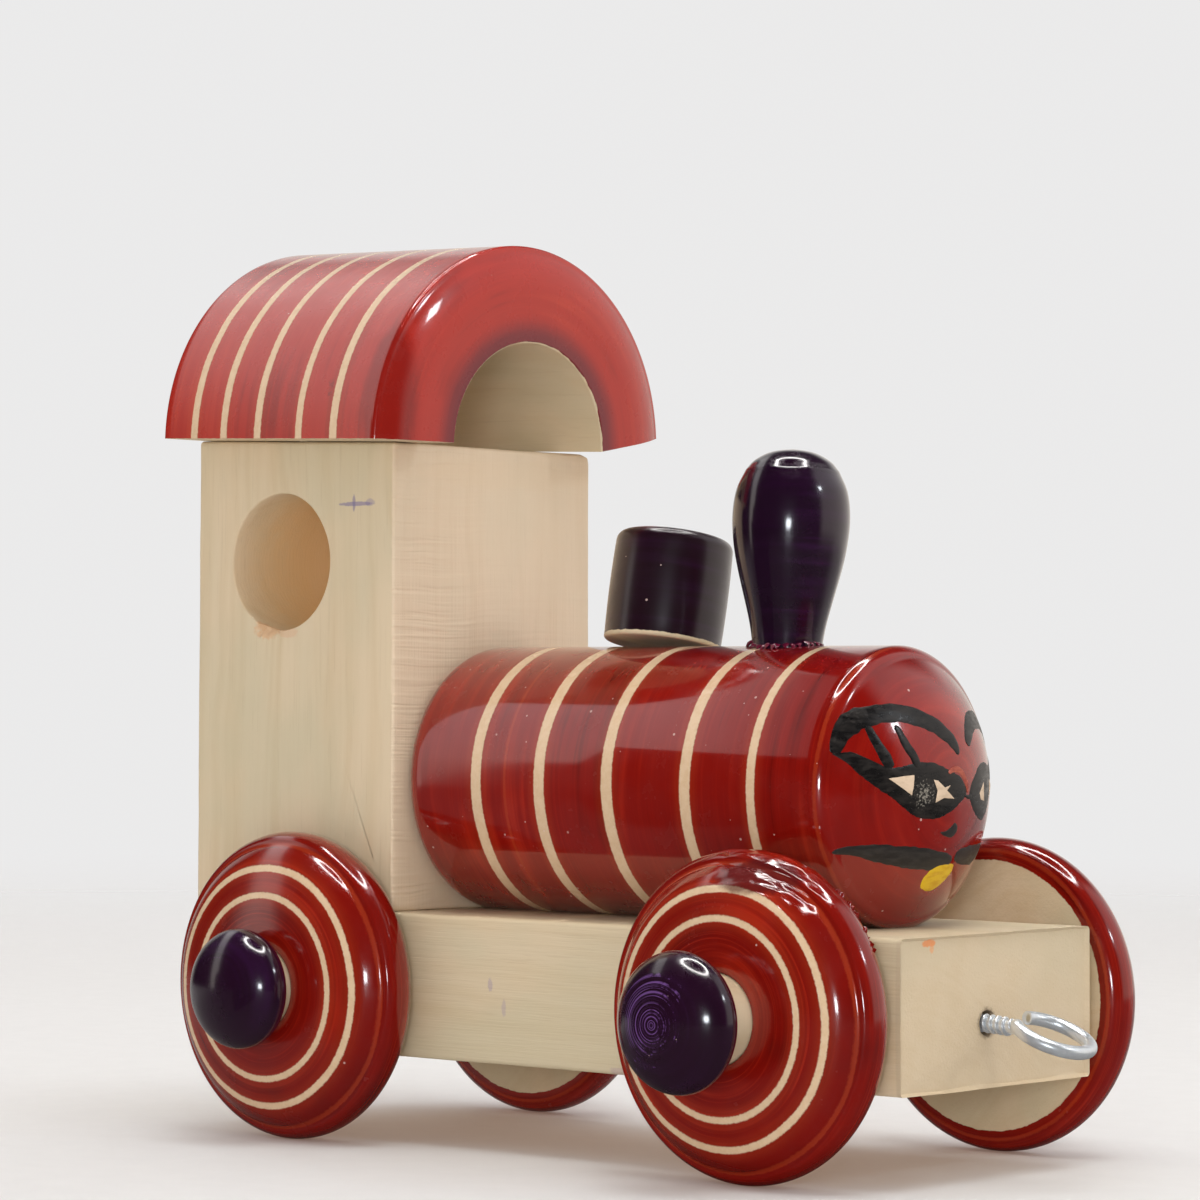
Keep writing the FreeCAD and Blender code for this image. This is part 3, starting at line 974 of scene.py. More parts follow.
@dataclass
class RunningGear:
    """Four turned wheels with ringed faces, and the pegs that hold them."""

    lathe: Lathe
    radius: float = 27.0
    bore: float = 7.55
    hub_width: float = 11.8
    outer_band: Point = (20.85, 0.56)
    inner_band: Point = (16.1, 0.52)
    shank: float = 7.4
    beam_side: float = 26.0
    front_peg: Point = (23.6, 11.4)
    rear_peg: Point = (19.7, 10.5)
    knob_depth: float = 6.5
    crinkle_from: float = 46.0
    crinkle_to: float = 99.0

    def wheel_profile(self) -> Profile:
        """Return the wheel's outline, from its bore round its rim and back."""
        outline = Profile((0.35, self.bore))
        outline.line((0.0, self.bore + 0.35)).line((0.0, 24.4), 0.6)
        for index in range(1, 19):
            angle = math.radians(150.0 * index / 18)
            outline.points.append((3.5 - 3.5 * math.cos(angle), 24.4 + 2.6 * math.sin(angle)))
        outline.through([(6.62, 25.05), (6.95, 24.6), (7.75, 24.0), (8.9, 22.85), (9.6, 21.75), (10.0, 20.85)], 4)
        outline.arc((11.2, 16.1), 66.0, 8).arc((self.hub_width, 8.2), 66.0, 10)
        outline.line((self.hub_width - 0.25, self.bore)).line((0.35, self.bore))
        return outline

    def wheel_bare(self, spot: Vector) -> float:
        """Return how far inside the bare inner face a point of a wheel lies."""
        radius = math.hypot(spot.y, spot.z)
        return min(23.3 - radius, (0.3 - spot.x) * 3.0)

    def peg_profile(self, reach: float, knob: float) -> Profile:
        """Return a peg's outline.

        Args:
            reach: How far its widest place is from the beam.
            knob: The knob's radius there.

        Returns:
            The outline.
        """
        outline = Profile((-1.0, 0.0))
        outline.line((-1.0, self.shank)).line((reach - 2.5, self.shank), 0.6)
        outline.line((reach - 2.3, self.shank + 0.3)).line((reach - 2.3, knob - 1.5), 0.5)
        outline.arc((reach, knob), 2.6, 10)
        return outline.dome(self.knob_depth, 34)

    def crinkle(self, made: bpy.types.Mesh) -> None:
        """Raise a torn, crinkled patch of lacquer on a wheel's rim.

        Args:
            made: The wheel's mesh, before it is placed.
        """
        for vertex in made.vertices:
            along, y, z = vertex.co
            radius = math.hypot(y, z)
            angle = math.degrees(math.atan2(z, y))
            mid = (self.crinkle_from + self.crinkle_to) / 2
            half = (self.crinkle_to - self.crinkle_from) / 2
            round_off = 1.0 - ((angle - mid) / half) ** 2
            across = 1.0 - ((radius - 24.6) / 3.4) ** 2
            if round_off <= 0 or across <= 0 or along < 1.0:
                continue
            share = min(1.0, round_off * 2.6) * min(1.0, across * 2.6)
            arc = math.radians(angle) * radius
            skew = Vector((arc * 0.16, radius * 0.75 + arc * 0.08, along * 0.7))
            fold = abs(grit(skew, 1.0, 3.0)) * 0.8 + abs(grit(skew, 2.3, 8.0)) * 0.25
            out = Vector((0.5, y / radius, z / radius)).normalized()
            vertex.co += out * share * (fold - 0.55) * 0.65
            limit = math.hypot(vertex.co.y, vertex.co.z)
            if limit > self.radius:
                vertex.co.y *= self.radius / limit
                vertex.co.z *= self.radius / limit

    def flakes(self, name: str, finish: bpy.types.Material, place: Matrix, body: str) -> None:
        """Leave small torn flakes of lacquer along the inner edge of a wheel's rim.

        Args:
            name: The piece's name.
            finish: Its material.
            place: The wheel's place on the frame.
            body: The wheel's body.
        """
        bits: list[bpy.types.Mesh] = []
        for index in range(16):
            turn = math.radians(26.0 + index * 1.7 + 2.0 * grit(Vector((index, 0, 0)), 0.9))
            root = Vector((1.3 + 0.5 * grit(Vector((index, 3, 0)), 0.8), 26.0 * math.cos(turn), 26.0 * math.sin(turn)))
            out = Vector((0.0, math.cos(turn), math.sin(turn)))
            side = Vector((0.0, -math.sin(turn), math.cos(turn)))
            size = 0.5 + 0.35 * grit(Vector((index, 7, 0)), 1.1)
            rings = []
            for level in range(5):
                width = size * (1.0 - (level / 4) ** 2 * 0.8)
                ring = []
                for step in range(8):
                    angle = math.tau * step / 8
                    spot = root + out * (level * size * 0.42) + side * math.cos(angle) * width
                    spot += Vector((math.sin(angle) * width * 0.4, 0, 0))
                    spot += noise.noise_vector(spot * 1.7) * 0.22
                    far = math.hypot(spot.y, spot.z)
                    if far > self.radius:
                        spot.y *= self.radius / far
                        spot.z *= self.radius / far
                    ring.append(spot)
                rings.append(ring)
            bits.append(loft(rings))
        settle(name, sealed(joined(bits)), place, body, "red_lacquer", finish=finish, crisp=60.0)

    def dress(self) -> None:
        """Build, finish and place every wheel and peg."""
        torn = middle("front_right_wheel") + Vector((6.6, -3.0, 23.0))
        film = Mark(tuple(torn), (9.5, 5.5, 3.2), (0.075, 0.008, 0.010), 0.75, 0.6, 0.45)
        red = Lacquer("wheel_red", deep=(0.090, 0.0020, 0.0014), main=(0.185, 0.0044, 0.0020), across=Across.RADIAL,
                      bands=(self.outer_band, self.inner_band), creases=(24.75,), ragged=0.6, gloss=0.14,
                      streak=0.45, film=0.11, marks=(film,)).make()
        purple = Lacquer("knob_purple", deep=(0.007, 0.0018, 0.007), main=(0.015, 0.0028, 0.013),
                         bright=(0.045, 0.010, 0.065), halo=(0.03, 0.01, 0.05), across=Across.RADIAL,
                         ragged=0.35, specks=0.01, gloss=0.16, film=0.13, bright_from=0.52).make()
        tip = middle("front_right_peg")
        arcs = Mark((tip.x - 4.0, -54.0, tip.z + 2.6), (7.2, 6.0, 8.2), (0.17, 0.075, 0.27), 0.75, 2.2, 0.6)
        swirled = Lacquer("knob_swirled", deep=(0.006, 0.0014, 0.005), main=(0.015, 0.0028, 0.012),
                          bright=(0.06, 0.016, 0.085), halo=(0.03, 0.01, 0.05), across=Across.RADIAL,
                          ragged=0.35, specks=0.06, gloss=0.16, film=0.13, bright_from=0.50,
                          swirl=(arcs,)).make()
        for end, peg in (("front", self.front_peg), ("rear", self.rear_peg)):
            for hand, way in (("right", -1.0), ("left", 1.0)):
                wheel_node = f"{end}_{hand}_wheel"
                peg_node = f"{end}_{hand}_peg"
                low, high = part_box(wheel_node)
                inner = (-high.y if way < 0 else low.y) * 1000.0
                centre = middle(wheel_node)
                face = spin("Z", 90.0 * way)
                place = Matrix.Translation((centre.x, way * inner, centre.z)) @ face
                made = self.lathe.turn(self.wheel_profile(), red, 200)
                set_bare(made, self.wheel_bare)
                if wheel_node == "front_right_wheel":
                    self.crinkle(made)
                    self.flakes("front_right_torn_lacquer", red, place, "front_right_roller")
                settle(f"{wheel_node}_turned", made, place, f"{end}_{hand}_roller", "red_lacquer", wheel_node,
                       crisp=60.0)
                made = self.lathe.turn(self.peg_profile(*peg), swirled if peg_node == "front_right_peg" else purple, 128)
                set_bare(made, lambda spot, edge=peg[0] - 2.55: min((edge - spot.x) * 2.0, 4.0))
                place = Matrix.Translation((centre.x, way * self.beam_side, centre.z)) @ face
                settle(f"{peg_node}_turned", made, place, "engine", "purple_lacquer", peg_node)


def rounded_outline(corners: list[Point], radius: float, step: float) -> list[tuple[Vector, Vector]]:
    """Walk round a convex outline with eased corners.

    Args:
        corners: The corners, anticlockwise.
        radius: How far each corner is eased.
        step: The longest distance between two points.

    Returns:
        Pairs of a point and its outward direction.
    """
    spots: list[tuple[Vector, Vector]] = []
    total = len(corners)
    for index in range(total):
        before, here, after = (Vector(corners[(index + shift) % total]) for shift in (-1, 0, 1))
        come = (here - before).normalized()
        leave = (after - here).normalized()
        first = Vector((come.y, -come.x))
        second = Vector((leave.y, -leave.x))
        heart = here - (first + second) * radius / (1.0 + first.dot(second))
        for part in range(5):
            way = first.lerp(second, part / 4).normalized()
            spots.append((heart + way * radius, way))
        start = heart + second * radius
        next_leave = (Vector(corners[(index + 2) % total]) - after).normalized()
        third = Vector((next_leave.y, -next_leave.x))
        end = after - (second + third) * radius / (1.0 + second.dot(third)) + second * radius
        count = max(2, math.ceil((end - start).length / step))
        spots.extend((start.lerp(end, part / count), second) for part in range(1, count))
    return spots


@dataclass
class Chassis:
    """The sawn beam that carries everything, with a pilot hole in its front end."""

    half_width: float = 26.0
    front: float = 70.5
    rear: float = -90.4
    bottom: float = 15.2
    top: float = 40.2
    eased: float = 0.7
    hole: tuple[float, float] = (-3.0, 25.7)
    hole_radius: float = 2.1
    hole_depth: float = 7.0

    def build(self) -> bpy.types.Mesh:
        """Return the beam's mesh, lofted from its rear end to the bottom of its pilot hole."""
        side = self.half_width
        outline = rounded_outline(
            [(-side, self.bottom), (side, self.bottom), (side, self.top), (-side, self.top)], self.eased, 1.3)
        heart = Vector(self.hole)
        soft = [0.55 + 0.3 * grit(Vector((spot.x, spot.y, 0)), 0.12, 2.0) for spot, _ in outline]

        def ring(x: float, inset: float) -> list[Vector]:
            """Return one ring at a station, drawn in by an inset."""
            made = []
            for (spot, way), ease in zip(outline, soft):
                flat = spot - way * inset * ease
                made.append(Vector((x, flat.x, flat.y)))
            return made

        rings = []
        centre = Vector((self.rear, 0.0, (self.bottom + self.top) / 2))
        for share in (0.2, 0.4, 0.6, 0.8, 0.92):
            rings.append([centre.lerp(spot, share) for spot in ring(self.rear, 1.0)])
        for part in range(5):
            angle = math.pi / 2 * part / 4
            rings.append(ring(self.rear + self.eased * (1 - math.sin(angle)), 1.0 - math.sin(angle)))
        count = 100
        for part in range(1, count):
            rings.append(ring(self.rear + (self.front - self.rear) * part / count, 0.0))
        for part in range(5):
            angle = math.pi / 2 * part / 4
            rings.append(ring(self.front - self.eased * (1 - math.cos(angle)), 1.0 - math.cos(angle)))
        rings.extend(self.front_face(rings[-1], heart))
        made = loft(rings)
        for vertex in made.vertices:
            wave = noise.noise_vector(vertex.co * 0.06) * 0.1 + noise.noise_vector(vertex.co * 0.35) * 0.03
            vertex.co += wave
            vertex.co.x = min(max(vertex.co.x, self.rear), self.front)
        return made

    def front_face(self, edge: list[Vector], heart: Vector) -> list[list[Vector]]:
        """Carry the skin from the front edge into the pilot hole.

        Args:
            edge: The last ring of the front edge.
            heart: The hole's centre, as Y and Z.

        Returns:
            The further rings.
        """
        mouth = []
        for spot in edge:
            way = (Vector((spot.y, spot.z)) - heart).normalized()
            reach = self.hole_radius + 0.35 * grit(Vector((way.x, way.y, 0)), 2.3, 4.0)
            mouth.append((way, reach))
        rings = []
        for share in (0.04, 0.1, 0.2, 0.35, 0.5, 0.65, 0.78, 0.88, 0.95, 1.0):
            ring = []
            for spot, (way, reach) in zip(edge, mouth):
                rim = Vector((self.front, heart.x + way.x * reach, heart.y + way.y * reach))
                ring.append(spot.lerp(rim, share))
            rings.append(ring)
        for depth, tighten in ((0.25, 0.96), (0.8, 0.88), (2.5, 0.84), (self.hole_depth, 0.8)):
            rings.append([
                Vector((self.front - depth, heart.x + way.x * reach * tighten, heart.y + way.y * reach * tighten))
                for way, reach in mouth])
        return rings

    def dress(self) -> None:
        """Build, finish and place the beam."""
        marks = (
            # Painted shade: the whole front face of the beam is darkened.
            Mark((70.5, 0.0, 27.7), (1.2, 60.0, 30.0), (0.54, 0.43, 0.29), 0.6, 0.2, 0.1),
            Mark((70.5, -17.8, 39.2), (1.5, 2.2, 0.7), (0.75, 0.24, 0.06), 0.8, 0.9, 1.2),
            Mark((70.5, -17.0, 38.4), (1.5, 0.7, 0.9), (0.75, 0.28, 0.09), 0.55, 0.9, 1.2),
            Mark((-17.4, -26.0, 28.7), (0.6, 1.0, 1.3), (0.33, 0.24, 0.36), 0.45, 1.2, 1.4),
            Mark((-14.2, -26.0, 24.8), (0.5, 1.0, 1.6), (0.36, 0.26, 0.36), 0.4, 1.2, 1.4),
            Mark((11.6, -26.0, 15.8), (1.8, 1.5, 0.7), (0.42, 0.28, 0.34), 0.4, 1.0, 1.2),
            # Painted shade: darker in and round the mouth of the pilot hole.
            Mark((70.5, -3.0, 25.7), (4.0, 2.6, 2.6), (0.10, 0.06, 0.035), 0.75, 0.5, 1.5),
            # Painted shade: a brownish band on the beam top under the boiler, where it touches.
            Mark((8.0, 2.0, 40.2), (36.0, 9.0, 1.5), (0.32, 0.14, 0.07), 0.25, 0.8, 0.2),
        )
        wood = BareWood("beam_wood", grain=Grain.X, marks=marks).make()
        settle("chassis_beam_sawn", self.build(), Matrix.Identity(4), "engine", "bare_wood", "chassis_beam",
               finish=wood, crisp=50.0)


@dataclass
class Cab:
    """The upright block behind the boiler, with a round window bored through its sides."""

    half_width: float = 26.0
    rear: float = -90.4
    front: float = -40.9
    bottom: float = 40.2
    front_top: float = 122.5
    rear_top: float = 124.4
    eased: float = 0.7
    window: Point = (-68.9, 101.9)
    bore: float = 12.3

    def build(self) -> bpy.types.Mesh:
        """Return the cab's mesh: one closed skin over its sides and through its window."""
        outline = rounded_outline(
            [(self.rear, self.bottom), (self.front, self.bottom), (self.front, self.front_top),
             (self.rear, self.rear_top)], self.eased, 1.0)
        heart = Vector(self.window)
        ways = [(spot - heart).normalized() for spot, _ in outline]
        soft = [0.6 + 0.35 * grit(Vector((spot.x, spot.y, 4)), 0.11) for spot, _ in outline]
        side = self.half_width

        def bored(y: float, flare: float) -> list[Vector]:
            """Return a ring of the bore at a depth, opened by a flare."""
            made = []
            for way in ways:
                reach = self.bore + flare + 0.12 * grit(Vector((way.x, way.y, y * 0.08)), 1.6)
                made.append(Vector((heart.x + way.x * reach, y, heart.y + way.y * reach)))
            return made

        def edge(y: float, inset: float) -> list[Vector]:
            """Return a ring of the outer edge at a depth, drawn in by an inset."""
            made = []
            for (spot, way), ease in zip(outline, soft):
                flat = spot - way * inset * ease
                made.append(Vector((flat.x, y, flat.y)))
            return made

        def wall(y: float) -> list[list[Vector]]:
            """Return the rings of one side face, from its window out."""
            rim = bored(y, 0.3)
            rand = edge(y, 1.0)
            return [[first.lerp(last, (part / 30) ** 1.8) for first, last in zip(rim, rand)] for part in range(1, 31)]

        rings = [bored(y, 0.0) for y in (-side + 0.3 + (2 * side - 0.6) * part / 24 for part in range(25))]
        rings.extend([bored(side - 0.1, 0.1), bored(side, 0.3), *wall(side)])
        for part in range(1, 5):
            angle = math.pi / 2 * part / 4
            rings.append(edge(side - self.eased * (1 - math.cos(angle)), 1.0 - math.sin(angle)))
        rings.extend(edge(side - self.eased - (2 * side - 2 * self.eased) * part / 36, 0.0) for part in range(1, 36))
        for part in range(4, 0, -1):
            angle = math.pi / 2 * part / 4
            rings.append(edge(-side + self.eased * (1 - math.cos(angle)), 1.0 - math.sin(angle)))
        rings.extend(reversed(wall(-side)))
        rings.extend([bored(-side, 0.3), bored(-side + 0.1, 0.1)])
        made = loft(rings, looped=True)
        for vertex in made.vertices:
            vertex.co += noise.noise_vector(vertex.co * 0.05) * 0.12 + noise.noise_vector(vertex.co * 0.3) * 0.03
            vertex.co.y = min(max(vertex.co.y, -side), side)
            vertex.co.x = max(vertex.co.x, self.rear)
            self.ease_corner(vertex)
            self.tear(vertex)
        return made

    def ease_corner(self, vertex: bpy.types.MeshVertex) -> None:
        """Round the worn top corner on the left of the front face."""
        reach = 2.4
        away = Vector((vertex.co.y - self.half_width + reach, vertex.co.z - self.front_top + reach))
        if vertex.co.x > self.front - 6.0 and min(away) > 0 and away.length > reach:
            share = min(1.0, (vertex.co.x - self.front + 6.0) / 5.0)
            drop = away - away.normalized() * reach
            vertex.co.y -= drop.x * share
            vertex.co.z -= drop.y * share

    def tear(self, vertex: bpy.types.MeshVertex) -> None:
        """Sink a point that lies in the torn lip of the near window mouth.

        Args:
            vertex: The point to move.
        """
        away = Vector(((vertex.co.x + 72.2) / 3.2, (vertex.co.z - 90.2) / 1.9))
        rough = away.length + 0.45 * grit(vertex.co, 0.9, 6.0)
        if vertex.co.y < -self.half_width + 1.6 and rough < 1.0:
            depth = (1.0 - rough) * 1.5 + 0.25 * abs(grit(vertex.co, 2.2, 9.0))
            vertex.co.y = max(vertex.co.y, -self.half_width + min(depth, 1.5))

    def dress(self) -> None:
        """Build, finish and place the cab."""
        x, z = self.window
        marks = (
            Mark((x, 0.0, z), (16.6, 34.0, 16.6), (0.80, 0.50, 0.21), 0.75, 0.12, 0.5),
            Mark((-72.4, -26.0, 90.2), (3.4, 2.2, 2.2), (0.68, 0.36, 0.17), 0.55, 0.9, 1.1),
            Mark((-67.0, -26.0, 89.2), (2.6, 1.2, 0.9), (0.66, 0.38, 0.22), 0.45, 0.9, 1.1),
            Mark((-50.1, -26.0, 111.9), (4.2, 1.0, 0.42), (0.16, 0.13, 0.32), 0.6, 0.7, 1.3),
            Mark((-50.6, -26.0, 112.1), (0.4, 1.0, 1.6), (0.16, 0.13, 0.30), 0.55, 0.7, 1.3),
            Mark((-46.6, -26.0, 112.1), (1.2, 1.0, 0.7), (0.20, 0.16, 0.32), 0.4, 0.8, 1.3),
            # Painted shade: a darker band across the top of the front face, under the roof's overhang.
            Mark((-42.0, 4.0, 118.0), (3.0, 26.0, 3.0), (0.66, 0.49, 0.28), 0.35, 1.2, 0.15),
        )
        wood = BareWood("cab_wood", grain=Grain.Z, sawn_and_lit_front=self.front, marks=marks).make()
        settle("cab_block_sawn", self.build(), Matrix.Identity(4), "engine", "bare_wood", "cab_block",
               finish=wood, crisp=50.0)


@dataclass
class Roof:
    """The half-ring roof: turned, bored, banded and sawn in half, set a little askew."""

    lathe: Lathe
    outer: float = 35.9
    bore: float = 18.6
    length: float = 58.1
    crown: Point = (2.2, 9.0)
    crown_curve: float = 18.0
    edge: float = 0.8
    leg_lift: float = 3.2
    pivot: Point = (-65.2, 123.6)
    rear_reach: float = 23.8
    pitch: float = 2.15
    yaw: float = -2.4
    bands: tuple[Point, ...] = ((8.6, 0.85), (16.5, 0.85), (25.5, 0.85), (36.3, 0.8), (45.3, 0.9))

    def profile(self) -> Profile:
        """Return the ring's section as a closed outline."""
        depth, band = self.crown
        outline = Profile((0.0, self.bore))
        outline.line((0.0, self.outer - self.edge), 1.2)
        outline.arc((self.edge, self.outer), self.edge, 5)
        outline.line((self.length - depth - self.edge, self.outer), 1.2)
        outline.arc((self.length - depth, self.outer - self.edge), self.edge, 5)
        outline.arc((self.length, self.outer - band), self.crown_curve, 12)
        outline.line((self.length, self.bore + 0.3), 1.2)
        outline.line((self.length - 0.3, self.bore), 0.3)
        return outline.line((0.0, self.bore), 1.6)

    def saw_angle(self, radius: float) -> float:
        """Return where the lifted left leg ends at a radius, in radians above level."""
        angle = 0.0
        for _ in range(6):
            rise = self.leg_lift * (radius * math.cos(angle) - self.bore) / (self.outer - self.bore)
            angle = math.asin(min(max(rise / radius, 0.0), 0.5))
        return angle

    def build(self, finish: bpy.types.Material) -> bpy.types.Mesh:
        """Turn the ring's half and saw its legs.

        Args:
            finish: Its material.

        Returns:
            The roof's mesh about its own rear end.
        """
        made = self.lathe.turn(self.profile(), finish, 200, math.pi)
        under: list[float] = []
        for vertex in made.vertices:
            radius = math.hypot(vertex.co.y, vertex.co.z)
            angle = math.atan2(max(vertex.co.z, 0.0), vertex.co.y)
            start = self.saw_angle(radius)
            angle = start + angle * (math.pi - start) / math.pi
            left = radius * (angle - start)
            right = radius * (math.pi - angle)
            under.append(min(left, right))
            vertex.co.y = radius * math.cos(angle)
            vertex.co.z = radius * math.sin(angle)
        rag = [0.25 * grit(vertex.co, 0.5, 2.0) for vertex in made.vertices]
        turned = made.attributes["turning"].data
        values = []
        for index, item in enumerate(turned):
            radius = math.hypot(item.vector[1], item.vector[2])
            values.append(max((self.bore + 0.2 - radius) * 2.0 + rag[index], (0.02 - under[index]) * 2.0))
        made.attributes.new("bare", "FLOAT", "POINT").data.foreach_set("value", values)
        return self.close_legs(made)

    def close_legs(self, made: bpy.types.Mesh) -> bpy.types.Mesh:
        """Close the sawn faces of both legs and mark them bare.

        Args:
            made: The open half ring.

        Returns:
            The closed mesh.
        """
        work = bmesh.new()
        work.from_mesh(made)
        bare = work.verts.layers.float["bare"]
        open_edges = [edge for edge in work.edges if edge.is_boundary]
        extruded = bmesh.ops.extrude_edge_only(work, edges=open_edges)
        rims = [item for item in extruded["geom"] if isinstance(item, bmesh.types.BMVert)]
        for vertex in rims:
            vertex[bare] = 3.0
        bmesh.ops.holes_fill(work, edges=[edge for edge in work.edges if edge.is_boundary], sides=0)
        work.to_mesh(made)
        work.free()
        return made

    def dress(self) -> None:
        """Build, finish and place the roof."""
        turn = spin("Z", self.yaw) @ spin("Y", self.pitch)
        rear = turn @ Vector((-self.rear_reach, 0.0, 0.0))
        place = Matrix.Translation(Vector((self.pivot[0], 0.0, self.pivot[1])) + rear) @ turn
        marks = (
            Mark((-33.2, 29.0, 146.5), (1.6, 1.8, 2.6), (0.62, 0.16, 0.03), 0.8, 0.8, 1.0),
            # Painted shade: a deeper red on the lower near corner of the roof's front.
            Mark((-35.0, -33.0, 129.0), (4.0, 7.0, 15.0), (0.20, 0.005, 0.003), 0.75, 0.3, 0.2),
            Mark((-47.0, -34.5, 131.0), (0.9, 1.5, 2.6), (0.05, 0.006, 0.004), 0.5, 1.4, 0.9),
        )
        red = Lacquer("roof_red", deep=(0.26, 0.008, 0.004), main=(0.38, 0.015, 0.007), bright=(0.52, 0.045, 0.018),
                      bands=self.bands, gloss=0.24, wave=0.15, ragged=0.5, specks=0.012, dusk=(19.5, 24.0),
                      marks=marks).make()
        settle("roof_arch_turned", self.build(red), place, "engine", "red_lacquer", "roof_arch", crisp=42.0)


@dataclass
class Boiler:
    """The long turned boiler with its crowned nose, lying on the beam."""

    lathe: Lathe
    radius: float = 23.5
    axis: float = 63.3
    rear: float = -40.9
    shoulder: float = 91.3
    nose: Point = (93.6, 21.6)
    length: float = 102.6
    beam_top: float = 40.2
    bands: tuple[Point, ...] = ((17.6, 1.15), (32.2, 1.15), (47.5, 1.15), (64.7, 1.1), (78.7, 0.85))

    def nose_sphere(self) -> Point:
        """Return the centre, along the boiler, and the radius of the nose's cap."""
        along, radius = self.nose
        centre = (along ** 2 + radius ** 2 - self.length ** 2) / (2 * (along - self.length))
        return centre, self.length - centre

    def nose_point(self, y: float, up: float, lift: float) -> Vector:
        """Find a place on the nose.

        Args:
            y: How far to the left of the boiler's axis.
            up: How far above it.
            lift: How far the place stands off the nose.

        Returns:
            The place on the frame, in millimetres.
        """
        centre, radius = self.nose_sphere()
        far = math.hypot(y, up)
        if far <= self.nose[1]:
            along = centre + math.sqrt(radius * radius - far * far)
            way = Vector((along - centre, y, up)).normalized()
        else:
            share = min((far - self.nose[1]) / (self.radius - self.nose[1]), 1.0)
            along = self.nose[0] - (self.nose[0] - self.shoulder) * share ** 1.6
            way = Vector((1.0 - 0.8 * share, y / far, up / far)).normalized()
        return Vector((self.rear + along, y, self.axis + up)) + way * lift

    def dress(self) -> None:
        """Build, finish and place the boiler."""
        outline = Profile((0.0, 0.0)).line((0.0, self.radius - 3.6), 2.0)
        outline.arc((3.6, self.radius), 3.6, 10).line((self.shoulder, self.radius), 1.2)
        outline.arc(self.nose, 3.2, 10)
        centre, radius = self.nose_sphere()
        first = math.asin(self.nose[1] / radius)
        for index in range(1, 33):
            angle = first * (1 - index / 32)
            outline.points.append((centre + radius * math.cos(angle), radius * math.sin(angle)))
        red = Lacquer("boiler_red", bands=self.bands, creases=(24.3, self.shoulder + 0.6), specks=0.25,
                      gloss=0.15).make()
        made = self.lathe.turn(outline, red, 240)
        set_bare(made, lambda spot: -4.0)
        made.transform(Matrix.Translation((self.rear, 0.0, self.axis)))
        for vertex in made.vertices:
            vertex.co.z = max(vertex.co.z, self.beam_top)
        settle("boiler_turned", made, Matrix.Identity(4), "engine", "red_lacquer", "boiler")


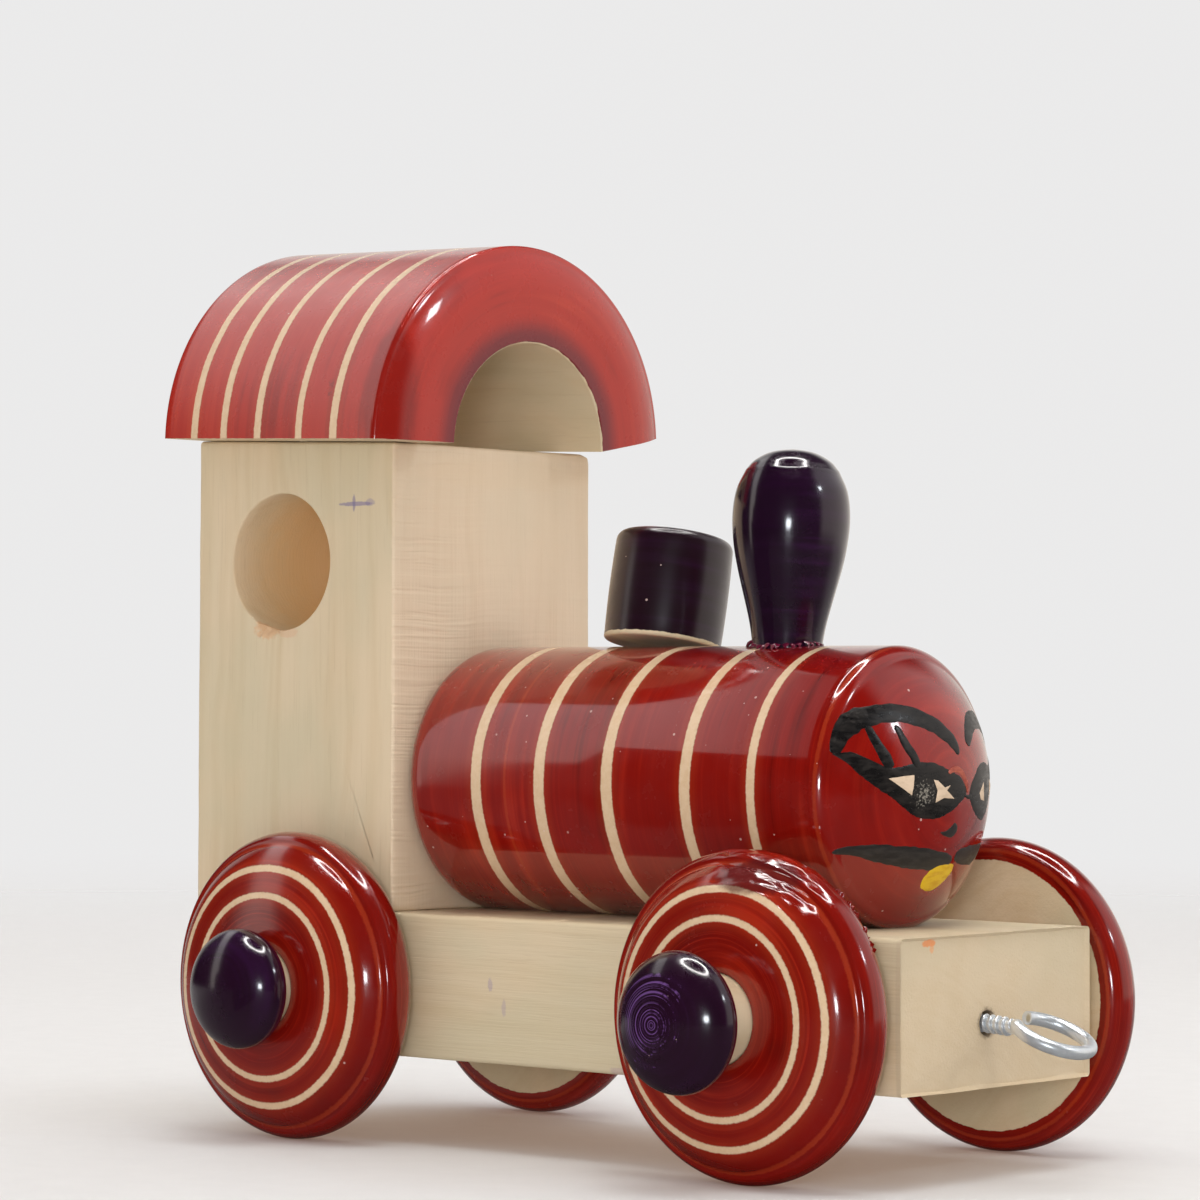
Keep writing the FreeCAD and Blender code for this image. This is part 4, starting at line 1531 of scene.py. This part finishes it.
@dataclass
class Funnels:
    """The steam dome and the pear-shaped smoke stack on the boiler."""

    lathe: Lathe
    boiler: Boiler
    dome_x: float = -5.1
    dome_lean: float = 11.0
    dome_lift: float = 0.7
    dome_radius: float = 10.3
    dome_length: float = 19.4
    stack_x: float = 25.8
    stack_lean: float = 2.6
    stack_seat: float = 0.8
    stack_foot: float = 5.8

    def stand(self, x: float, lean: float, lift: float) -> Matrix:
        """Find a funnel's place.

        Args:
            x: Where it stands along the frame.
            lean: How far it leans to the left, in degrees.
            lift: How far its foot is off the boiler's surface.

        Returns:
            Its place on the frame.
        """
        turn = spin("X", -lean) @ spin("Y", -90.0)
        radial = turn @ Vector((1.0, 0.0, 0.0))
        return Matrix.Translation(Vector((x, 0.0, self.boiler.axis)) + radial * (self.boiler.radius + lift)) @ turn

    def fringe(self, finish: bpy.types.Material) -> None:
        """Leave the ragged lacquer that squeezed out round the stack's foot.

        Args:
            finish: Its material.
        """
        turn = spin("X", -self.stack_lean)
        bits: list[bpy.types.Mesh] = []
        for index in range(34):
            angle = math.tau * index / 34 + 0.08 * grit(Vector((index, 0, 0)), 1.3)
            out = Vector((math.cos(angle), math.sin(angle), 0.0))
            side = Vector((-out.y, out.x, 0.0))
            reach = 1.0 + 0.8 * grit(Vector((index, 2, 0)), 0.83)
            rise = 0.55 + 0.5 * grit(Vector((index, 5, 0)), 0.71)
            rings = []
            for level in range(5):
                share = level / 4
                width = 0.75 * (1.0 - share * 0.75)
                ring = []
                for step in range(8):
                    round_it = math.tau * step / 8
                    spot = out * (self.stack_foot - 0.2 + reach * share) + side * math.cos(round_it) * width
                    drop = self.boiler.radius - math.sqrt(max(self.boiler.radius ** 2 - spot.y ** 2, 0.0))
                    height = -drop + 0.1 + rise * math.sin(math.pi * (0.35 + 0.65 * share))
                    spot.z = self.boiler.radius + height + math.sin(round_it) * 0.22
                    spot += noise.noise_vector(spot * 1.3) * 0.28
                    ring.append(turn @ spot)
                rings.append(ring)
            bits.append(loft(rings))
        place = Matrix.Translation((self.stack_x, 0.0, self.boiler.axis))
        settle("stack_foot_lacquer", sealed(joined(bits)), place, "engine", "purple_lacquer", finish=finish,
               crisp=60.0)

    def dress(self) -> None:
        """Build, finish and place both funnels."""
        purple = Lacquer("stack_purple", deep=(0.0060, 0.0016, 0.0056), main=(0.012, 0.0026, 0.012),
                         bright=(0.040, 0.006, 0.052), halo=(0.05, 0.012, 0.03), ragged=0.6, specks=0.04,
                         gloss=0.16, film=0.12).make()
        dull = Lacquer("dome_purple", deep=(0.0085, 0.0016, 0.0045), main=(0.0140, 0.0024, 0.0075),
                       bright=(0.028, 0.005, 0.030), halo=(0.05, 0.012, 0.03), ragged=0.6, specks=0.2,
                       gloss=0.30, film=0.25).make()
        edge = self.dome_radius
        outline = Profile((0.0, 0.0)).line((0.0, edge - 0.5), 1.0).arc((0.5, edge), 0.5, 4)
        outline.line((1.4, edge), 0.2).arc((self.dome_length - 1.8, edge), 200.0, 14)
        outline.arc((self.dome_length, edge - 1.8), 1.8, 8).line((self.dome_length, 0.0), 1.0)
        made = self.lathe.turn(outline, dull, 128)
        set_bare(made, lambda spot: 0.75 - spot.x)
        place = self.stand(self.dome_x, self.dome_lean, self.dome_lift)
        settle("steam_dome_turned", made, place, "engine", "purple_lacquer", "steam_dome")
        outline = Profile((0.0, 0.0)).line((0.0, self.stack_foot), 1.0)
        outline.through([(5.1, 6.65), (13.8, 8.85), (18.7, 9.75), (23.0, 10.0), (27.2, 9.45), (30.6, 7.95)], 8)
        outline.through([(32.3, 6.4), (33.7, 3.7), (34.3, 0.0)], 8)
        made = self.lathe.turn(outline, purple, 128)
        set_bare(made, lambda spot: -4.0)
        place = self.stand(self.stack_x, self.stack_lean, -self.stack_seat)
        settle("smoke_stack_turned", made, place, "engine", "purple_lacquer", "smoke_stack")
        crust = Lacquer("foot_crust", deep=(0.035, 0.002, 0.010), main=(0.13, 0.006, 0.028),
                        bright=(0.28, 0.016, 0.040), ragged=0.0, gloss=0.2).make()
        self.fringe(crust)


class Wire:
    """Draws wire along a path with geometry nodes."""

    def __init__(self) -> None:
        """Build the wire's tree."""
        self.tree = bpy.data.node_groups.new("wire", "GeometryNodeTree")
        face = self.tree.interface
        for label, kind in (("Path", "Geometry"), ("Radius", "Float"), ("Sides", "Int"), ("Finish", "Material")):
            face.new_socket(label, in_out="INPUT", socket_type=f"NodeSocket{kind}")
        face.new_socket("Geometry", in_out="OUTPUT", socket_type="NodeSocketGeometry")
        graph = Graph(self.tree)
        given = graph.node("NodeGroupInput").outputs
        path = graph.node("GeometryNodeMeshToCurve")
        graph.feed(path.inputs[0], given["Path"])
        section = graph.node("GeometryNodeCurvePrimitiveCircle")
        graph.fill(section, {"Resolution": given["Sides"], "Radius": given["Radius"]})
        skin = graph.node("GeometryNodeCurveToMesh")
        graph.feed(skin.inputs["Curve"], path.outputs[0])
        graph.feed(skin.inputs["Profile Curve"], section.outputs[0])
        graph.feed(skin.inputs["Fill Caps"], True)
        real = graph.node("GeometryNodeRealizeInstances")
        graph.feed(real.inputs[0], skin.outputs[0])
        dressed = graph.node("GeometryNodeSetMaterial")
        graph.fill(dressed, {"Geometry": real.outputs[0], "Material": given["Finish"]})
        graph.feed(graph.node("NodeGroupOutput").inputs[0], dressed.outputs[0])

    def draw(self, path: list[Vector], radius: float, sides: int, finish: bpy.types.Material) -> bpy.types.Mesh:
        """Draw one length of wire.

        Args:
            path: Its points in millimetres.
            radius: The wire's radius.
            sides: How many sides its section has.
            finish: Its material.

        Returns:
            The wire's mesh.
        """
        blank = bpy.data.meshes.new("path")
        blank.from_pydata([tuple(spot) for spot in path], [(i, i + 1) for i in range(len(path) - 1)], [])
        return grow(self.tree, blank, {"Radius": radius, "Sides": sides, "Finish": finish})


@dataclass
class ScrewEye:
    """The zinc screw eye in the beam's front end."""

    wire: Wire
    root: Vector
    wire_radius: float = 1.12
    core: float = 1.12
    thread: float = 1.5
    thread_pitch: float = 1.25
    thread_shown: float = 5.2
    droop: float = 4.0
    ring_centre: Point = (83.5, 24.5)
    ring_radius: float = 6.25
    ring_droop: float = 23.0

    def ring_spot(self, degrees: float) -> Vector:
        """Return a place on the ring's centre line; 0 is its front and -90 its near side."""
        tilt = math.radians(self.ring_droop)
        ahead = Vector((math.cos(tilt), 0.0, -math.sin(tilt)))
        angle = math.radians(degrees)
        centre = Vector((self.ring_centre[0], self.root.y, self.ring_centre[1]))
        return centre + (ahead * math.cos(angle) + Vector((0, math.sin(angle), 0))) * self.ring_radius

    def dress(self) -> None:
        """Build, finish and place the screw eye."""
        zinc = Zinc("zinc_wire").make()
        tilt = math.radians(self.droop)
        ahead = Vector((math.cos(tilt), 0.0, -math.sin(tilt)))
        up = Vector((math.sin(tilt), 0.0, math.cos(tilt)))
        side = Vector((0.0, 1.0, 0.0))
        stem = [self.root + ahead * reach for reach in (-6.0, -3.0, 0.0, 2.5, 4.6)]
        bend = [self.root + ahead * 6.2 + Vector((0, -0.25, 0.05)), self.ring_spot(-152.0) + Vector((0.1, 0, -0.75))]
        loop = [self.ring_spot(-128.0 + 300.0 * index / 30) for index in range(31)]
        path = smooth_path(stem + bend + loop, 4)
        meshes = [self.wire.draw(path, self.wire_radius, 24, zinc)]
        coils = []
        turns = (self.thread_shown + 3.0) / self.thread_pitch
        for index in range(int(turns * 28) + 1):
            angle = math.tau * index / 28
            reach = -3.0 + self.thread_pitch * index / 28
            fade = min(1.0, (self.thread_shown - reach) / 0.9)
            height = self.core + (self.thread - self.core - 0.02) * max(fade, 0.0)
            coils.append(self.root + ahead * reach + (up * math.sin(angle) + side * math.cos(angle)) * height * 0.86)
        meshes.append(self.wire.draw(coils, 0.30, 10, zinc))
        settle("screw_eye_bent", joined(meshes), Matrix.Identity(4), "engine", "zinc_steel", "screw_eye",
               crisp=48.0)


@dataclass
class Face:
    """The folk face brushed on the boiler's nose."""

    boiler: Boiler

    def stroke(self, points: list[tuple[float, float, float]], lift: float = 0.10) -> bpy.types.Mesh:
        """Brush one stroke.

        Args:
            points: Left, up and width of each point of its middle line, from the boiler's axis.
            lift: How thick the paint is at the middle.

        Returns:
            The stroke as a thin closed mesh.
        """
        track = smooth_path(points, 12)
        rings = []
        for index, spot in enumerate(track):
            ahead = (track[min(index + 1, len(track) - 1)] - track[max(index - 1, 0)]).xy
            across = Vector((-ahead.y, ahead.x)).normalized() if ahead.length else Vector((0, 1))
            here = Vector((spot.x, spot.y, 0.0))
            ends = min(1.0, 0.25 + 0.5 * math.sqrt(index), 0.25 + 0.5 * math.sqrt(len(track) - 1 - index))
            one = spot.z / 2 * ends * (1 + 0.16 * grit(here, 0.8, 1.0))
            two = spot.z / 2 * ends * (1 + 0.16 * grit(here, 0.8, 9.0))
            ring = []
            for step in range(11):
                share = -1 + step / 5
                flat = spot.xy + across * (share * (one if share > 0 else two))
                rise = lift * math.sqrt(max(1 - share * share, 0.0)) - 0.01
                ring.append(self.boiler.nose_point(flat.x, flat.y, rise))
            for step in range(11):
                share = 1 - step / 5
                flat = spot.xy + across * (share * (one if share > 0 else two) * 0.98)
                ring.append(self.boiler.nose_point(flat.x, flat.y, -0.08))
            rings.append(ring)
        return loft(rings)

    def dab(self, points: list[Point], heart: Point, lift: float = 0.10, crisp: bool = False) -> bpy.types.Mesh:
        """Fill one outline with paint.

        Args:
            points: Left and up of each point of the outline, from the boiler's axis.
            heart: A place inside that sees the whole outline.
            lift: How thick the paint is at the middle.
            crisp: Whether the outline keeps its corners.

        Returns:
            The patch as a thin closed mesh.
        """
        if crisp:
            track = []
            for index, start in enumerate(points):
                end = Vector(points[(index + 1) % len(points)])
                track.extend(Vector(start).lerp(end, part / 8) for part in range(8))
        else:
            track = smooth_path(points, 10, closed=True)
        centre = Vector(heart)
        edge = []
        for spot in track:
            rag = 1 + 0.035 * grit(Vector((spot.x, spot.y, 0)), 1.4, 7.0)
            edge.append(centre + (spot - centre) * rag)
        rings = []
        for step in range(15):
            share = 1 - step / 15
            rise = lift * math.sqrt(1 - share ** 4) - 0.01
            rings.append([self.boiler.nose_point(*(centre + (spot - centre) * share), rise) for spot in edge])
        under = [[self.boiler.nose_point(*(centre + (spot - centre) * share), -0.08) for spot in edge]
                 for share in (0.02, 0.5, 0.98)]
        return loft(under + rings)

    def place(self, name: str, meshes: list[bpy.types.Mesh], finish: bpy.types.Material) -> None:
        """Put some strokes on the engine as one piece."""
        settle(name, joined(meshes), Matrix.Identity(4), "engine", "red_lacquer", finish=finish, crisp=70.0)

    def dress(self) -> None:
        """Brush the whole face."""
        flaky = Mark((58.0, -6.6, 62.6), (3.0, 2.5, 2.5), (0.34, 0.31, 0.26), 0.75, 3.0, 2.4)
        black = Paint("brow_black", flakes=(flaky,)).make()
        soot = Paint("lip_soot", colour=(0.020, 0.017, 0.016), worn=(0.036, 0.031, 0.028), roughness=0.34).make()
        cream = Paint("eye_cream", colour=(0.66, 0.50, 0.36), worn=(0.56, 0.42, 0.29), roughness=0.42).make()
        yellow = Paint("spot_yellow", colour=(0.68, 0.44, 0.012), worn=(0.56, 0.30, 0.006), roughness=0.3).make()
        drop_highlight = Paint("drop_painted_highlight", colour=(0.42, 0.10, 0.06), worn=(0.24, 0.03, 0.02), roughness=0.4).make()
        near_brow = [(-20.6, 5.8, 1.2), (-20.2, 7.2, 2.2), (-19.2, 9.3, 3.0), (-17.0, 11.0, 3.2), (-14.2, 12.0, 3.1),
                     (-11.0, 12.4, 3.1), (-7.9, 12.1, 3.2), (-4.7, 11.2, 3.1), (-1.4, 9.5, 3.0), (1.1, 7.4, 2.4),
                     (2.0, 5.6, 1.1)]
        far_brow = [(5.6, 7.0, 1.6), (6.4, 8.6, 2.6), (8.3, 10.4, 3.2), (11.2, 11.3, 3.2), (14.4, 11.0, 3.1),
                    (17.3, 9.6, 2.9), (19.2, 7.6, 2.2), (20.0, 5.6, 1.2)]
        self.place("near_brow_paint", [self.stroke(near_brow)], black)
        self.place("far_brow_paint", [self.stroke(far_brow)], black)
        lashes = [self.stroke([(-15.3, 10.4, 1.2), (-14.6, 7.8, 1.6), (-13.7, 5.4, 1.9), (-13.0, 3.4, 1.6)]),
                  self.stroke([(-10.8, 10.4, 1.1), (-9.7, 7.3, 1.5), (-8.6, 5.2, 1.7), (-8.0, 3.6, 1.6)])]
        self.place("near_lash_paint", lashes, black)
        near_eye = [(-21.0, 5.9), (-18.6, 6.2), (-17.2, 5.2), (-14.9, 4.0), (-12.3, 3.6), (-8.9, 4.2), (-6.9, 4.5),
                    (-4.1, 4.2), (-1.2, 3.1), (1.4, 2.2), (3.2, 0.8), (3.8, -0.8), (1.6, -2.6), (-1.6, -4.2),
                    (-4.7, -4.9), (-7.5, -4.7), (-9.9, -3.7), (-12.4, -1.8), (-15.1, 0.1), (-17.6, 2.2), (-19.6, 4.5)]
        far_eye = [(4.6, -0.6), (6.4, 1.8), (8.8, 3.6), (11.6, 4.3), (15.0, 3.7), (18.4, 5.0), (20.3, 5.4),
                   (18.6, 2.6), (16.4, 0.2), (14.4, -3.2), (11.4, -5.4), (8.3, -4.8), (5.6, -2.9)]
        self.place("near_eye_paint", [self.dab(near_eye, (-7.6, 0.2))], black)
        self.place("far_eye_paint", [self.dab(far_eye, (11.0, 0.0)),
                                     self.stroke([(3.2, -1.2, 0.5), (4.6, -1.4, 0.7), (6.0, -1.0, 0.5)])], black)
        whites = [
            self.dab([(-13.9, 1.9), (-11.2, 2.3), (-8.8, 2.5), (-9.0, 0.6), (-9.4, -1.2), (-11.0, -0.1)],
                     (-10.3, 1.0), 0.16, True),
            self.dab([(-5.3, 1.8), (-4.2, 1.6), (-2.4, 0.3), (-0.8, 0.7), (-1.8, -0.2), (0.2, -1.7), (-2.6, -1.6),
                      (-4.8, -2.4), (-4.4, -0.2)], (-3.3, -0.3), 0.16, True),
            self.dab([(8.4, -0.9), (10.7, 1.2), (10.9, -0.5), (11.2, -2.4), (9.2, -2.1)], (10.1, -0.8), 0.16, True),
            self.dab([(14.6, 1.5), (17.2, 0.4), (15.2, -1.6)], (15.6, 0.2), 0.16, True),
        ]
        self.place("eye_white_paint", whites, cream)
        # A raised lacquer drop at the eye's inner corner, its pinkish colour a painted highlight.
        self.place("eye_corner_drop_highlight", [self.stroke([(-1.4, 2.6, 0.7), (0.2, 3.2, 1.0), (1.9, 2.9, 1.2),
                                                   (3.2, 1.7, 1.1), (3.9, 0.2, 0.8), (4.0, -0.7, 0.4)], 0.17)], drop_highlight)
        tick = [(-2.6, -7.1), (-1.2, -6.9), (0.0, -6.2), (0.9, -5.6), (1.9, -6.2), (1.7, -7.3), (0.7, -8.0),
                (-1.0, -7.8)]
        self.place("nose_tick_paint", [self.dab(tick, (0.3, -7.0))], soot)
        lips = [
            self.stroke([(-20.2, -10.2, 0.6), (-18.6, -9.9, 1.3), (-16.4, -9.9, 1.9), (-13.4, -10.3, 2.9),
                         (-9.6, -10.9, 3.5), (-6.0, -11.3, 3.7), (-2.6, -11.7, 3.4), (0.4, -11.8, 2.6),
                         (2.6, -11.8, 1.4)]),
            self.stroke([(3.3, -11.4, 1.2), (4.8, -11.1, 2.6), (7.4, -11.2, 3.4), (10.5, -11.2, 3.6),
                         (13.6, -10.9, 3.0), (16.6, -10.5, 2.1), (19.2, -10.1, 0.9)]),
        ]
        self.place("lip_paint", lips, soot)
        drop = [(-0.6, -16.9), (-2.7, -16.2), (-3.2, -14.9), (-2.2, -13.3), (-0.3, -12.4), (2.2, -12.4), (3.9, -12.6),
                (4.1, -13.8), (2.9, -15.4), (1.2, -16.6)]
        self.place("yellow_spot_paint", [self.dab(drop, (0.4, -14.6), 0.16)], yellow)


@dataclass
class Studio:
    """The pale floor, the soft lights and the camera."""

    camera_place: tuple[float, float, float] = (0.4714, -0.5553, 0.0802)
    azimuth: float = 41.245
    elevation: float = -1.148
    roll: float = 0.198
    lens: float = 126.06
    floor_reach: float = 6.0
    ring_height: float = 1.2
    ring_radius: float = 0.40
    window_glow: float = 1.35
    near_fill: float = 0.20
    far_fill: float = 0.74
    top_fill: float = 0.47
    low_fill: float = 0.30
    front_fill: float = 0.24

    def camera(self) -> None:
        """Set up the camera."""
        azimuth = math.radians(self.azimuth)
        elevation = math.radians(self.elevation)
        roll = math.radians(self.roll)
        ahead = Vector((-math.sin(azimuth) * math.cos(elevation), math.cos(azimuth) * math.cos(elevation),
                        -math.sin(elevation)))
        right = Vector((math.cos(azimuth), math.sin(azimuth), 0.0))
        up = right.cross(ahead)
        side = right * math.cos(roll) + up * math.sin(roll)
        top = up * math.cos(roll) - right * math.sin(roll)
        lens = bpy.data.cameras.new("camera")
        lens.lens = self.lens
        lens.sensor_width = 36.0
        lens.clip_start = 0.01
        lens.clip_end = 50.0
        made = bpy.data.objects.new("camera", lens)
        made.matrix_world = Matrix.Translation(self.camera_place) @ Matrix((side, top, -ahead)).transposed().to_4x4()
        bpy.context.scene.collection.objects.link(made)
        bpy.context.scene.camera = made

    def world(self) -> None:
        """Light the room: white beyond the engine and overhead, dark on the near side."""
        made = bpy.data.worlds.new("studio")
        bpy.context.scene.world = made
        made.use_nodes = True
        graph = Graph(made.node_tree)
        shade = made.node_tree.nodes["Background"]
        way = graph.node("ShaderNodeTexCoord").outputs["Generated"]
        x, y, z = graph.split(way)
        azimuth = math.radians(self.azimuth)
        away = graph.vector("DOT_PRODUCT", way, (-math.sin(azimuth), math.cos(azimuth), 0.0))
        height = graph.math("SUBTRACT", z, graph.fade(x, 0.0, 0.4, 0.0, 0.45))
        low = graph.math("MULTIPLY", graph.fade(height, 0.35, 0.65, 1.0, 0.06),
                         graph.fade(x, -1.0, -0.6, 0.4, 1.0))
        backdrop = graph.math("MULTIPLY", graph.fade(y, 0.06, 0.30, 0.012, 0.78), low)
        side = graph.math("MULTIPLY", graph.fade(x, -0.80, -0.74), graph.fade(x, -0.645, -0.615, 1.0, 0.0))
        sill = graph.math("ADD", z, graph.fade(x, -0.705, -0.670, 0.40, 0.0))
        over = graph.fade(y, 0.1, 0.6, 1.0, 0.25)
        pane = graph.math("MULTIPLY", graph.fade(sill, 0.17, 0.24, 0.0, self.window_glow), over)
        window = graph.math("MULTIPLY", side, pane)
        mirrored = graph.math("MAXIMUM", backdrop, window)
        soft = graph.math("ADD", graph.fade(away, -0.4, 0.4, self.near_fill, self.far_fill),
                          graph.fade(z, 0.1, 0.9, self.low_fill, self.top_fill))
        soft = graph.math("ADD", soft, graph.fade(x, 0.1, 0.9, 0.0, self.front_fill))
        tint = graph.blend(graph.fade(z, 0.05, 0.6), (1.0, 0.93, 0.85), (1.0, 0.985, 0.97))
        path = graph.node("ShaderNodeLightPath")
        seen = path.outputs["Is Camera Ray"]
        room = graph.level(path.outputs["Is Glossy Ray"], soft, mirrored)
        graph.feed(shade.inputs["Color"], graph.blend(seen, tint, (1.0, 0.995, 0.995)))
        graph.feed(shade.inputs["Strength"], graph.level(seen, room, 0.83))

    def soft_light(self, name: str, place: Place, aim: Place, size: Point, power: float, tint: Colour,
                   mirrored: bool = True) -> None:
        """Hang one soft light.

        Args:
            name: Its name.
            place: Where it hangs, in metres.
            aim: What it points at.
            size: Its width and height.
            power: Its power in watts.
            tint: Its colour.
            mirrored: Whether glossy surfaces show it.
        """
        data = bpy.data.lights.new(name, "AREA")
        data.shape = "RECTANGLE"
        data.size, data.size_y = size
        data.energy = power
        data.color = tint
        made = bpy.data.objects.new(name, data)
        made.location = place
        made.visible_glossy = mirrored
        made.rotation_euler = (Vector(aim) - Vector(place)).to_track_quat("-Z", "Y").to_euler()
        bpy.context.scene.collection.objects.link(made)

    def glow(self, name: str, colour: Colour, soft: float, mirrored: float) -> bpy.types.Material:
        """Make a material that only shines.

        Args:
            name: Its name.
            colour: Its colour.
            soft: How strongly it lights matt surfaces.
            mirrored: How strongly glossy ones mirror it.

        Returns:
            The material.
        """
        made = bpy.data.materials.new(name)
        made.use_nodes = True
        graph = Graph(made.node_tree)
        shine = graph.node("ShaderNodeEmission")
        glossy = graph.node("ShaderNodeLightPath").outputs["Is Glossy Ray"]
        graph.fill(shine, {"Color": full(colour), "Strength": graph.level(glossy, soft, mirrored)})
        out = next(node for node in made.node_tree.nodes if node.type == "OUTPUT_MATERIAL")
        graph.feed(out.inputs["Surface"], shine.outputs[0])
        return made

    def ring_lamp(self) -> None:
        """Hang the ring lamp straight above."""
        rings = []
        for radius, height in ((-0.035, 0.0), (0.035, 0.0), (0.035, 0.01), (-0.035, 0.01)):
            rings.append([
                Vector((math.cos(math.tau * step / 96) * (self.ring_radius + radius),
                        math.sin(math.tau * step / 96) * (self.ring_radius + radius), self.ring_height + height))
                for step in range(96)])
        made = loft(rings, looped=True)
        made.materials.append(self.glow("ring_glow", (1.0, 0.98, 0.96), 3.0, 30.0))
        lamp = bpy.data.objects.new("ring_lamp", made)
        bpy.context.scene.collection.objects.link(lamp)

    def floor(self) -> None:
        """Lay the pale floor, which is open from below, dark in reflections on the near side, and glowing faintly warm
        as painted light that lifts its shadows.
        """
        reach = self.floor_reach
        made = bpy.data.meshes.new("floor")
        made.from_pydata([(-reach, -reach, 0), (reach, -reach, 0), (reach, reach, 0), (-reach, reach, 0)], [],
                         [(0, 1, 2, 3)])
        paper = bpy.data.materials.new("floor_paper")
        paper.use_nodes = True
        graph = Graph(paper.node_tree)
        shader = paper.node_tree.nodes["Principled BSDF"]
        place = graph.node("ShaderNodeTexCoord").outputs["Object"]
        grain = graph.cloud(place, 140.0, 3.0)
        paper_tone = graph.blend(grain, (0.565, 0.605, 0.622), (0.605, 0.645, 0.661))
        azimuth = math.radians(self.azimuth)
        toward = graph.vector("DOT_PRODUCT", place, (math.sin(azimuth), -math.cos(azimuth), 0.0))
        glossy = graph.node("ShaderNodeLightPath").outputs["Is Glossy Ray"]
        dim = graph.math("MULTIPLY", glossy, graph.fade(toward, -0.12, 0.06, 0.65, 0.96))
        graph.feed(shader.inputs["Base Color"], graph.blend(dim, paper_tone, (0.02, 0.018, 0.016)))
        # Painted light: the floor glows faintly warm, which lifts the shadows under the engine.
        shader.inputs["Emission Color"].default_value = (1.0, 0.56, 0.40, 1.0)
        graph.feed(shader.inputs["Emission Strength"], graph.math("MULTIPLY", graph.math("SUBTRACT", 1.0, dim), 0.125))
        shader.inputs["Roughness"].default_value = 0.7
        shader.inputs["Specular IOR Level"].default_value = 0.2
        clear = graph.node("ShaderNodeBsdfTransparent")
        mix = graph.node("ShaderNodeMixShader")
        far = graph.fade(graph.vector("LENGTH", place), 0.30, 1.3)
        back = graph.node("ShaderNodeNewGeometry").outputs["Backfacing"]
        graph.feed(mix.inputs[0], graph.math("MAXIMUM", far, back))
        graph.feed(mix.inputs[1], shader.outputs[0])
        graph.feed(mix.inputs[2], clear.outputs[0])
        out = next(node for node in paper.node_tree.nodes if node.type == "OUTPUT_MATERIAL")
        graph.feed(out.inputs["Surface"], mix.outputs[0])
        made.materials.append(paper)
        ground = bpy.data.objects.new("floor", made)
        bpy.context.scene.collection.objects.link(ground)

    def flag(self) -> None:
        """Stand a black flag, seen only in reflections, between the front wheel and the bright window."""
        tip = middle("front_right_peg") / 1000.0
        corner = Vector((tip.x - 0.035, -0.160, 0.0))
        width = Vector((-0.075, 0.065, 0.0))
        rise = Vector((0.0, 0.0, 0.112))
        made = bpy.data.meshes.new("flag")
        made.from_pydata([corner, corner + width, corner + width + rise, corner + rise], [], [(0, 1, 2, 3)])
        made.materials.append(self.glow("flag_black", (1.0, 1.0, 1.0), 0.0, 0.008))
        card = bpy.data.objects.new("flag", made)
        card.visible_camera = False
        card.visible_diffuse = False
        card.visible_shadow = False
        bpy.context.scene.collection.objects.link(card)

    def build(self) -> None:
        """Set up the whole studio."""
        self.camera()
        self.world()
        self.ring_lamp()
        self.flag()
        self.floor()
        centre = (0.0, 0.0, 0.06)
        self.soft_light("key", (0.45, -0.15, 1.75), centre, (0.7, 0.7), 10.0, (1.0, 0.98, 0.95), False)
        self.soft_light("near_soft", (0.44, -0.72, 0.14), centre, (0.3, 0.2), 0.9, (1.0, 0.94, 0.87), False)
        self.soft_light("near_point", (0.47, -0.66, 0.10), centre, (0.12, 0.09), 1.2, (0.88, 0.94, 1.0))
        self.soft_light("front_point", (0.90, 0.22, 0.62), centre, (0.10, 0.10), 0.9, (0.88, 0.94, 1.0))
        bpy.context.scene.view_settings.view_transform = "Standard"


def dress_dowels() -> None:
    """Give the hidden glued dowels their own wood."""
    wood = BareWood("dowel_wood", grain=Grain.Z, pale=(0.62, 0.46, 0.28), tan=(0.50, 0.34, 0.18)).make()
    for name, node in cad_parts.items():
        if name.endswith("_dowel"):
            for slot in node.material_slots:
                slot.material = wood


def main() -> None:
    """Build every piece in order, then set up the studio."""
    logging.basicConfig(level=logging.INFO, format="%(message)s")
    lathe = Lathe()
    boiler = Boiler(lathe)
    Chassis().dress()
    Cab().dress()
    Roof(lathe).dress()
    boiler.dress()
    Funnels(lathe, boiler).dress()
    ScrewEye(Wire(), Vector((70.5, -3.0, 25.7))).dress()
    Face(boiler).dress()
    RunningGear(lathe).dress()
    dress_dowels()
    Studio().build()
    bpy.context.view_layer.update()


if __name__ == "__main__":
    main()
